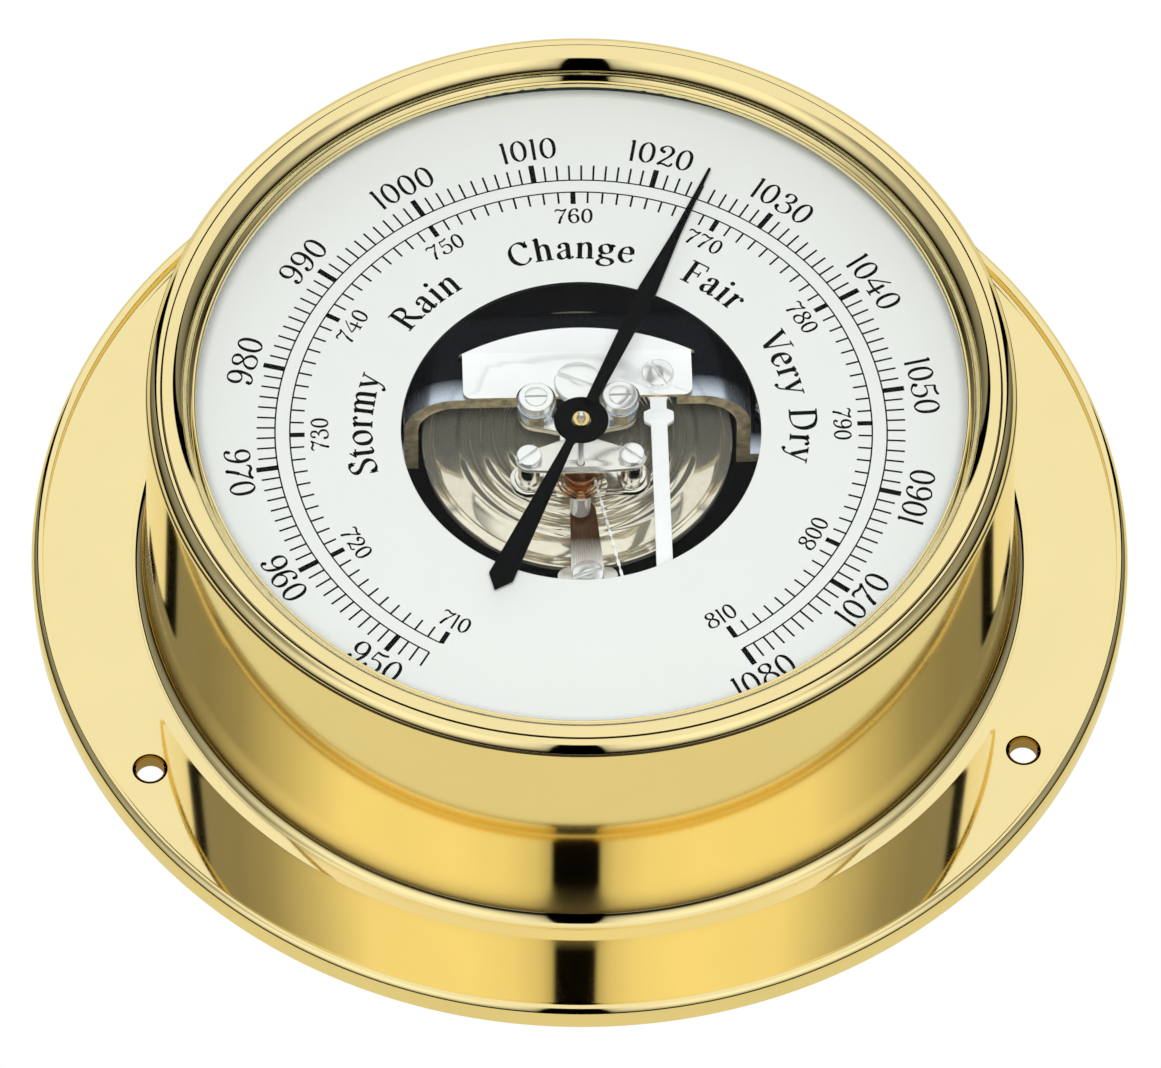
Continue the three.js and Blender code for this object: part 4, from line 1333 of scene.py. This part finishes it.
def capsule_stud():
    bottom = low("capsule_stud").z
    profile = [
        (0, bottom),
        (2.0, bottom),
        (2.0, bottom + 0.5),
        (1.7, bottom + 0.8),
        (1.45, bottom + 0.85),
        (1.4, bottom + 0.95),
        (1.4, SPRING_BOTTOM - 0.05),
        (0, SPRING_BOTTOM - 0.05),
    ]
    return lathe(profile, (0, CAPSULE_Y), SMALL)


def mainspring():
    half, front, corner = 11.45, 8.95, 0.9
    outline = [
        (half, 14.3),
        *arc(0, -6.6, 23.9, 60.5, 119.5, 48),
        (-half, 14.3),
        *arc(-half + corner, front + corner, corner, 180, 270, 8),
        *arc(half - corner, front + corner, corner, 270, 360, 8),
    ]
    leaf = flat(outline, SPRING_BOTTOM, SPRING_TOP)
    notches = []
    for side in (-1, 1):
        reach = [(0, SPRING_BOTTOM - 1), (2, SPRING_BOTTOM - 1), (2, SPRING_TOP + 1), (0, SPRING_TOP + 1)]
        notches.append(lathe(reach, (side * TAB[0], TAB[1]), SMALL))
    return softened(combined(leaf, cut=notches), 0.05)


def main_lever():
    w, shoulder = 0.82, 1.5
    right = [
        (w, -22.3),
        (w, 5.7),
        *arc(shoulder - 0.35, 6.35, 0.35, -60, 0, 4),
        *arc(shoulder - 0.35, 7.05, 0.35, 0, 60, 4),
        (w, 7.6),
        (w, 8.6),
        (1.3, 9.6),
        (1.3, 12.4),
    ]
    outline = [(LEVER_X + x, y) for x, y in right] + [(LEVER_X - x, y) for x, y in reversed(right)]
    return softened(flat(outline, low("main_lever").z, high("main_lever").z), 0.05)


def link():
    pin_y, pin_z = SHAFT[0] - 2.4, SHAFT[1]
    top = high("link").z
    outline = [
        (pin_y - 0.7, top),
        *arc(pin_y, pin_z, 1.55, 180, 360, 20),
        (pin_y + 0.7, top),
    ]
    strip = across(outline, 9.0, 9.4, [circle(pin_y, pin_z, 1.05, 24)])
    tongue = box(LEVER_X - 0.7, 9.4, pin_y - 0.7, pin_y + 0.7, top - 0.4, top)
    return softened(combined(strip, add=[tongue]), 0.04)


def build_capsule():
    fine("capsule_lower", capsule_lower(), CAPSULE)
    fine("capsule_upper", capsule_upper(), CAPSULE)
    fine("capsule_stud", capsule_stud(), COPPER)
    leaf = fine("mainspring", mainspring(), MIRROR_STEEL)
    # The leaf's side faces get painted edge shade.
    paint_faces(leaf, EDGE_PAINTED_SHADE, lambda centre, normal: abs(normal.z) < 0.6)
    seat = SPRING_TOP + 0.05
    fine("stud_screw", screw(0, CAPSULE_Y, seat, 2.35, 0.85, -25), BRIGHT_STEEL)
    fine("main_lever", main_lever(), SATIN_STEEL)
    fine("lever_screw", screw(LEVER_X, 11.1, seat, 1.6, 0.85, -62), BRIGHT_STEEL)
    fine("link", link(), STEEL)
    keep_cad("regulating_screw", PLAIN_BRASS)


def rocking_shaft():
    y, z = SHAFT
    parts = [
        rod((2.3, y, z), (8.7, y, z), 0.9),
        rod((8.6, y, z), (9.8, y, z), 0.5),
        rod((9.7, y, z), (10.7, y, z), 0.9),
    ]
    return joined([softened(part, 0.08) for part in parts])


def crank_arm():
    y, z = SHAFT
    outline = [*arc(y, z, 1.4, -100, 100, 20), *arc(y - 2.4, z, 0.8, 100, 260, 14)]
    web = softened(across(outline, LEVER_X - 0.6, LEVER_X + 0.2), 0.06)
    return joined([web, rod((LEVER_X, y - 2.4, z), (LEVER_X + 1.9, y - 2.4, z), 0.4)])


def chain_arm():
    y, z = SHAFT
    top = high("chain_arm").z
    outline = [*arc(y, z, 1.4, -240, 60, 28), (y + 0.45, top), (y - 0.45, top)]
    return softened(across(outline, 4.55, 5.35), 0.06)


def shaft_bracket():
    foot = BASE_TOP + 0.05
    left, right, top, t = 0.9, 12.1, 7.4, 0.8
    outline = [
        (left, foot),
        (right, foot),
        (right, top),
        (right - t, top),
        (right - t, foot + t),
        (left + t, foot + t),
        (left + t, top),
        (left, top),
    ]
    strap = along(outline, SHAFT[0] - 1.2, SHAFT[0] + 1.2)
    pivots = rod((left - 1, *SHAFT), (right + 1, *SHAFT), 0.85)
    notch = box(8.6, 9.8, SHAFT[0] - 1.3, SHAFT[0] - 0.5, foot - 1, foot + 1)
    return softened(combined(strap, cut=[pivots, notch]), 0.06)


def pivot_screw(side):
    mesh = screw(0, 0, 0, 1.3, 0.9, 30, shank_r=0.75, length=1.38)
    mesh.transform(Matrix.Rotation(side * math.pi / 2, 4, "Y"))
    x = 0.87 if side < 0 else 12.13
    mesh.transform(Matrix.Translation(Vector((x, *SHAFT)) * MM))
    return mesh


def chain():
    """Fine flat links in two crossed sets, from the drum to the chain arm."""
    start = Vector((1.32, -0.3, 15.3))
    end = Vector((4.95, SHAFT[0] + 0.8, 15.3))
    way = (end - start).normalized()
    turn = way.to_track_quat("X", "Z").to_matrix()
    count = 30
    pitch = (end - start).length / count
    bm = bmesh.new()
    for i in range(count):
        middle = start + way * pitch * (i + 0.5)
        upright = i % 2 == 0
        half = (pitch * 0.62, 0.05 if upright else 0.15, 0.15 if upright else 0.05)
        made = bmesh.ops.create_cube(bm, size=2.0)["verts"]
        for vertex in made:
            vertex.co = middle + turn @ Vector([c * h for c, h in zip(vertex.co, half)])
        bmesh.ops.bevel(bm, geom=list({e for v in made for e in v.link_edges}), offset=0.03, segments=1)
    return finish_mesh(bm)


def build_rocking_shaft():
    fine("shaft_bracket", shaft_bracket(), NICKEL)
    fine("pivot_screw_left", pivot_screw(-1), STEEL)
    fine("pivot_screw_right", pivot_screw(1), STEEL)
    fine("rocking_shaft", rocking_shaft(), STEEL)
    fine("crank_arm", crank_arm(), NICKEL)
    fine("chain_arm", chain_arm(), NICKEL)
    links = piece("chain_fine", chain(), BRIGHT_STEEL, None)
    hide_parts("chain")
    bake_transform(links)


def arbor():
    bottom, top = low("arbor").z, high("arbor").z
    profile = [
        (0, bottom),
        (0.2, bottom),
        (0.2, 8.75),
        (0.9, 8.9),
        (1.05, 9.05),
        (1.05, 12.05),
        (0.9, 12.25),
        (0.45, 12.5),
        (0.45, COCK_BOTTOM - 0.15),
        (0.33, COCK_BOTTOM - 0.15),
        (0.33, top - 0.2),
        (0.26, top - 0.08),
        (0.14, top),
        (0, top),
    ]
    return lathe(profile, segments=SMALL)


def chain_drum():
    bottom, top = low("chain_drum").z, high("chain_drum").z
    hub, flange, bore = 1.25, 1.6, 0.5
    profile = [
        (bore, bottom),
        (flange - 0.04, bottom),
        (flange, bottom + 0.04),
        (flange, bottom + 0.2),
        (hub, bottom + 0.28),
        (hub, top - 0.28),
        (flange, top - 0.2),
        (flange, top - 0.04),
        (flange - 0.04, top),
        (bore, top),
    ]
    return lathe(profile, segments=SMALL)


def hairspring():
    """A flat spiral of thin strip."""
    turns, steps = 3.5, 240
    z, half_t, half_h = 14.25, 0.05, 0.2
    bm = bmesh.new()
    rings = []
    for i in range(steps + 1):
        t = i / steps
        radius = 1 + 1.3 * t
        angle = math.pi + math.tau * turns * (1 - t)
        way = Vector((math.cos(angle), math.sin(angle), 0))
        corners = ((-half_t, -half_h), (half_t, -half_h), (half_t, half_h), (-half_t, half_h))
        rings.append([bm.verts.new(way * (radius + a) + Vector((0, 0, z + b))) for a, b in corners])
    bm.faces.new(rings[0])
    bm.faces.new(rings[-1])
    for first, second in zip(rings, rings[1:]):
        for k in range(4):
            n = (k + 1) % 4
            bm.faces.new([first[k], first[n], second[n], second[k]])
    return finish_mesh(bm)


def pointer():
    """A needle that widens to a third of its length, a round hub and a spade tail."""
    tip, tail, hub = 33.2, 21.8, 2.7
    right = [(0.12, tip), (0.4, 24.5), (0.95, 17), (0.55, 2.55)]
    lower = [(0.45, -3), (1.27, -20.2)]
    outline = [
        *[(-x, y) for x, y in right],
        *arc(0, 0, hub, 102, 258, 40),
        *[(-x, y) for x, y in lower],
        (0, -tail),
        *reversed(lower),
        *arc(0, 0, hub, -78, 78, 40),
        *reversed(right),
    ]
    mesh = softened(flat(outline, low("pointer").z, high("pointer").z, [circle(0, 0, 0.95, 32)]), 0.05)
    mesh.transform(Matrix.Rotation(math.radians(-POINTER_ANGLE), 4, "Z"))
    return mesh


def pointer_bush():
    bottom, top = low("pointer_bush").z, high("pointer_bush").z
    profile = [
        (0.4, bottom),
        (0.88, bottom),
        (0.88, top - 0.06),
        (0.8, top),
        (0.5, top),
        (0.42, top - 0.08),
    ]
    return lathe(profile, segments=SMALL)


def build_arbor():
    fine("arbor", arbor(), BRIGHT_STEEL)
    fine("chain_drum", chain_drum(), COPPER)
    bottom, top = low("hairspring_collet").z, high("hairspring_collet").z
    collet = [(0.5, bottom), (0.82, bottom), (0.85, bottom + 0.03), (0.85, top - 0.03), (0.82, top), (0.5, top)]
    fine("hairspring_collet", lathe(collet, segments=SMALL), COPPER)
    fine("hairspring", hairspring(), COPPER)
    keep_cad("hairspring_stud", PLAIN_BRASS)
    fine("pointer", pointer(), BLACK_PAINT)
    fine("pointer_bush", pointer_bush(), PLAIN_BRASS)


# ---------------------------------------------------------------- studio


def emitter(name, radiance, colour=(1, 1, 1)):
    material = bpy.data.materials.new(name)
    material.use_nodes = True
    tree = material.node_tree
    tree.nodes.clear()
    output = tree.nodes.new("ShaderNodeOutputMaterial")
    glow = tree.nodes.new("ShaderNodeEmission")
    glow.inputs["Color"].default_value = (*colour, 1)
    glow.inputs["Strength"].default_value = radiance
    tree.links.new(glow.outputs[0], output.inputs["Surface"])
    return material


def direction(azimuth, elevation):
    """Azimuth is clockwise from +Y seen from above."""
    a, e = math.radians(azimuth), math.radians(elevation)
    return Vector((math.sin(a) * math.cos(e), math.cos(a) * math.cos(e), math.sin(e)))


def floor():
    """A pale floor: pure white to the camera, darker and warmer in reflections, and dim under the case."""
    bpy.ops.mesh.primitive_plane_add(size=12, location=(0, 0, -0.0002))
    plane = bpy.context.object
    plane.name = "floor"
    material = bpy.data.materials.new("floor")
    material.use_nodes = True
    tree = material.node_tree
    tree.nodes.clear()
    output = tree.nodes.new("ShaderNodeOutputMaterial")
    path = tree.nodes.new("ShaderNodeLightPath")
    mix = tree.nodes.new("ShaderNodeMixShader")
    seen = tree.nodes.new("ShaderNodeEmission")
    seen.inputs["Strength"].default_value = 1.0
    other = tree.nodes.new("ShaderNodeEmission")
    other.inputs["Color"].default_value = (1, 0.935, 0.66, 1)
    other.inputs["Strength"].default_value = 0.82
    tree.links.new(path.outputs["Is Camera Ray"], mix.inputs["Fac"])
    tree.links.new(other.outputs[0], mix.inputs[1])
    tree.links.new(seen.outputs[0], mix.inputs[2])
    tree.links.new(mix.outputs[0], output.inputs["Surface"])
    plane.data.materials.append(material)

    mirrored("floor_shade", (0, 0), FLANGE_R - 0.3, -0.1, emitter("floor_shade", 1.0, (0.3, 0.217, 0.097)))
    for degrees in (0, 120, 240):
        mirrored(f"hole_cover_{degrees}", on_circle(HOLE_CIRCLE_R, degrees), HOLE_R + 0.35, FLANGE_T + 0.01, BRASS)


def mirrored(name, centre, radius, height, material):
    """A disc that only shows in reflections."""
    disc = bpy.data.objects.new(name, lathe([(0, height), (radius, height)], centre, closed=False))
    disc.data.materials.append(material)
    bpy.context.scene.collection.objects.link(disc)
    disc.visible_camera = False


class Maths:
    """Math nodes of a node tree, written as calls."""

    def __init__(self, tree):
        self.tree = tree

    def __call__(self, operation, *inputs):
        node = self.tree.nodes.new("ShaderNodeMath")
        node.operation = operation
        for socket, value in zip(node.inputs, inputs):
            if isinstance(value, (int, float)):
                socket.default_value = value
            else:
                self.tree.links.new(value, socket)
        return node.outputs[0]

    def curve(self, source, stops):
        """A straight-line curve through (position, value) stops, both between 0 and 1."""
        ramp = self.tree.nodes.new("ShaderNodeValToRGB")
        elements = ramp.color_ramp.elements
        while len(elements) < len(stops):
            elements.new(0.5)
        for element, (position, value) in zip(elements, stops):
            element.position = position
            element.color = (value, value, value, 1)
        self.tree.links.new(source, ramp.inputs["Fac"])
        return ramp.outputs["Color"]

    def mix(self, share, first, second):
        """first where share is 0, second where it is 1."""
        change = self("SUBTRACT", second, first)
        return self("ADD", first, self("MULTIPLY", change, share))


def world():
    """A light tent as a sky: white cloth with a gap at the camera and two dark seams.

    The light depends on the angle round from the camera and on the height. The camera sees plain white. Matt
    surfaces get most of their light from the lamps instead.
    """
    scene = bpy.context.scene
    scene.world = bpy.data.worlds.new("studio")
    scene.world.use_nodes = True
    tree = scene.world.node_tree
    maths = Maths(tree)
    place = tree.nodes.new("ShaderNodeTexCoord")
    split = tree.nodes.new("ShaderNodeSeparateXYZ")
    tree.links.new(place.outputs["Generated"], split.inputs[0])
    x, y, z = split.outputs
    sine, cosine = math.sin(math.radians(CAMERA_AZIMUTH)), math.cos(math.radians(CAMERA_AZIMUTH))
    forward = maths("ADD", maths("MULTIPLY", x, sine), maths("MULTIPLY", y, cosine))
    sideways = maths("ADD", maths("MULTIPLY", x, cosine), maths("MULTIPLY", y, -sine))
    angle = maths("DIVIDE", maths("ARCTAN2", maths("ABSOLUTE", sideways), forward), math.pi)

    turn = [(degrees / 180, value) for degrees, value in TENT_ROUND]
    level = maths.curve(angle, turn)
    front = maths.curve(z, TENT_FRONT_HEIGHT)
    back = maths.curve(z, TENT_BACK_HEIGHT)
    behind = maths.curve(angle, [(110 / 180, 0), (138 / 180, 1)])
    level = maths("MULTIPLY", level, maths.mix(behind, front, back))
    overhead = maths.curve(z, [(0.915, 0), (0.945, 1)])
    level = maths("MULTIPLY", maths.mix(overhead, level, TENT_TOP), TENT_LIGHT)

    path = tree.nodes.new("ShaderNodeLightPath")
    level = maths("MULTIPLY", level, maths.mix(path.outputs["Is Diffuse Ray"], 1.0, 0.3))
    level = maths.mix(path.outputs["Is Camera Ray"], level, 1.0)
    background = tree.nodes["Background"]
    background.inputs["Color"].default_value = (1, 1, 1, 1)
    tree.links.new(level, background.inputs["Strength"])


def lamp(name, azimuth, elevation, distance, size, power):
    """A square lamp for paint and print, aimed at the dial. Metal doesn't mirror it."""
    light = bpy.data.lights.new(name, "AREA")
    light.shape = "SQUARE"
    light.size = size
    light.energy = power
    holder = bpy.data.objects.new(name, light)
    way = direction(azimuth, elevation)
    holder.location = way * distance
    holder.rotation_mode = "QUATERNION"
    holder.rotation_quaternion = way.to_track_quat("Z", "Y")
    holder.visible_glossy = False
    bpy.context.scene.collection.objects.link(holder)


def movement_glow():
    """A hidden glowing ring under the dial. It stands for the light that bounces about inside the case."""
    inner, outer, gap, steps = 18.2, 31.0, 0, 96
    z = DIAL_BOTTOM - 0.12
    bm = bmesh.new()
    rings = []
    for i in range(steps + 1):
        degrees = gap + (360 - 2 * gap) * i / steps
        rings.append([bm.verts.new((*on_circle(radius, degrees), z)) for radius in (inner, outer)])
    for first, second in zip(rings, rings[1:]):
        bm.faces.new([first[0], first[1], second[1], second[0]])
    mesh = finish_mesh(bm)
    mesh.materials.append(emitter("movement_glow", 0.85))
    glow = bpy.data.objects.new("movement_glow", mesh)
    bpy.context.scene.collection.objects.link(glow)
    glow.visible_camera = False


CAMERA_AZIMUTH = 182.2  # clockwise from +Y, seen from the object

# Brightness of the tent, as shares of TENT_LIGHT: by degrees round from the camera, and by the sine of the height.
TENT_LIGHT = 1.17
TENT_TOP = 0.86
TENT_ROUND = (
    (0, 0.0),
    (5.8, 0.0),
    (6.6, 0.5),
    (10, 0.75),
    (18, 0.92),
    (32, 1.0),
    (62, 0.96),
    (80, 0.62),
    (98, 0.34),
    (112, 0.265),
    (131, 0.26),
    (132, 0.0),
    (140, 0.0),
    (141, 0.86),
    (180, 0.86),
)
TENT_FRONT_HEIGHT = ((0.0, 0.0), (0.2, 0.03), (0.36, 0.5), (0.55, 0.8), (0.72, 1.0))
TENT_BACK_HEIGHT = ((0.0, 0.7), (0.1, 0.95), (0.3, 1.0))


def build_studio():
    lamp("lamp_front", CAMERA_AZIMUTH, 60, 1.6, 0.4, 23)
    movement_glow()
    floor()
    world()


def build_camera():
    camera = bpy.data.cameras.new("camera")
    camera.lens = 341.09
    camera.sensor_width = 36
    camera.clip_start = 0.05
    camera.clip_end = 20
    eye = Vector((-23.49, -611.97, 920.51)) * MM
    target = Vector((0.173, 3.024, 0)) * MM
    roll = math.radians(0.6477)
    back = (eye - target).normalized()
    right = (-back).cross(Vector((0, 0, 1))).normalized()
    up = right.cross(-back)
    level = Matrix((right, up, back)).transposed()
    holder = bpy.data.objects.new("camera", camera)
    holder.matrix_world = Matrix.Translation(eye) @ (level @ Matrix.Rotation(roll, 3, "Z")).to_4x4()
    bpy.context.scene.collection.objects.link(holder)
    bpy.context.scene.camera = holder
    bpy.context.scene.view_settings.view_transform = "Standard"


build_case()
build_print()
build_frame()
build_capsule()
build_rocking_shaft()
build_arbor()
build_studio()
build_camera()
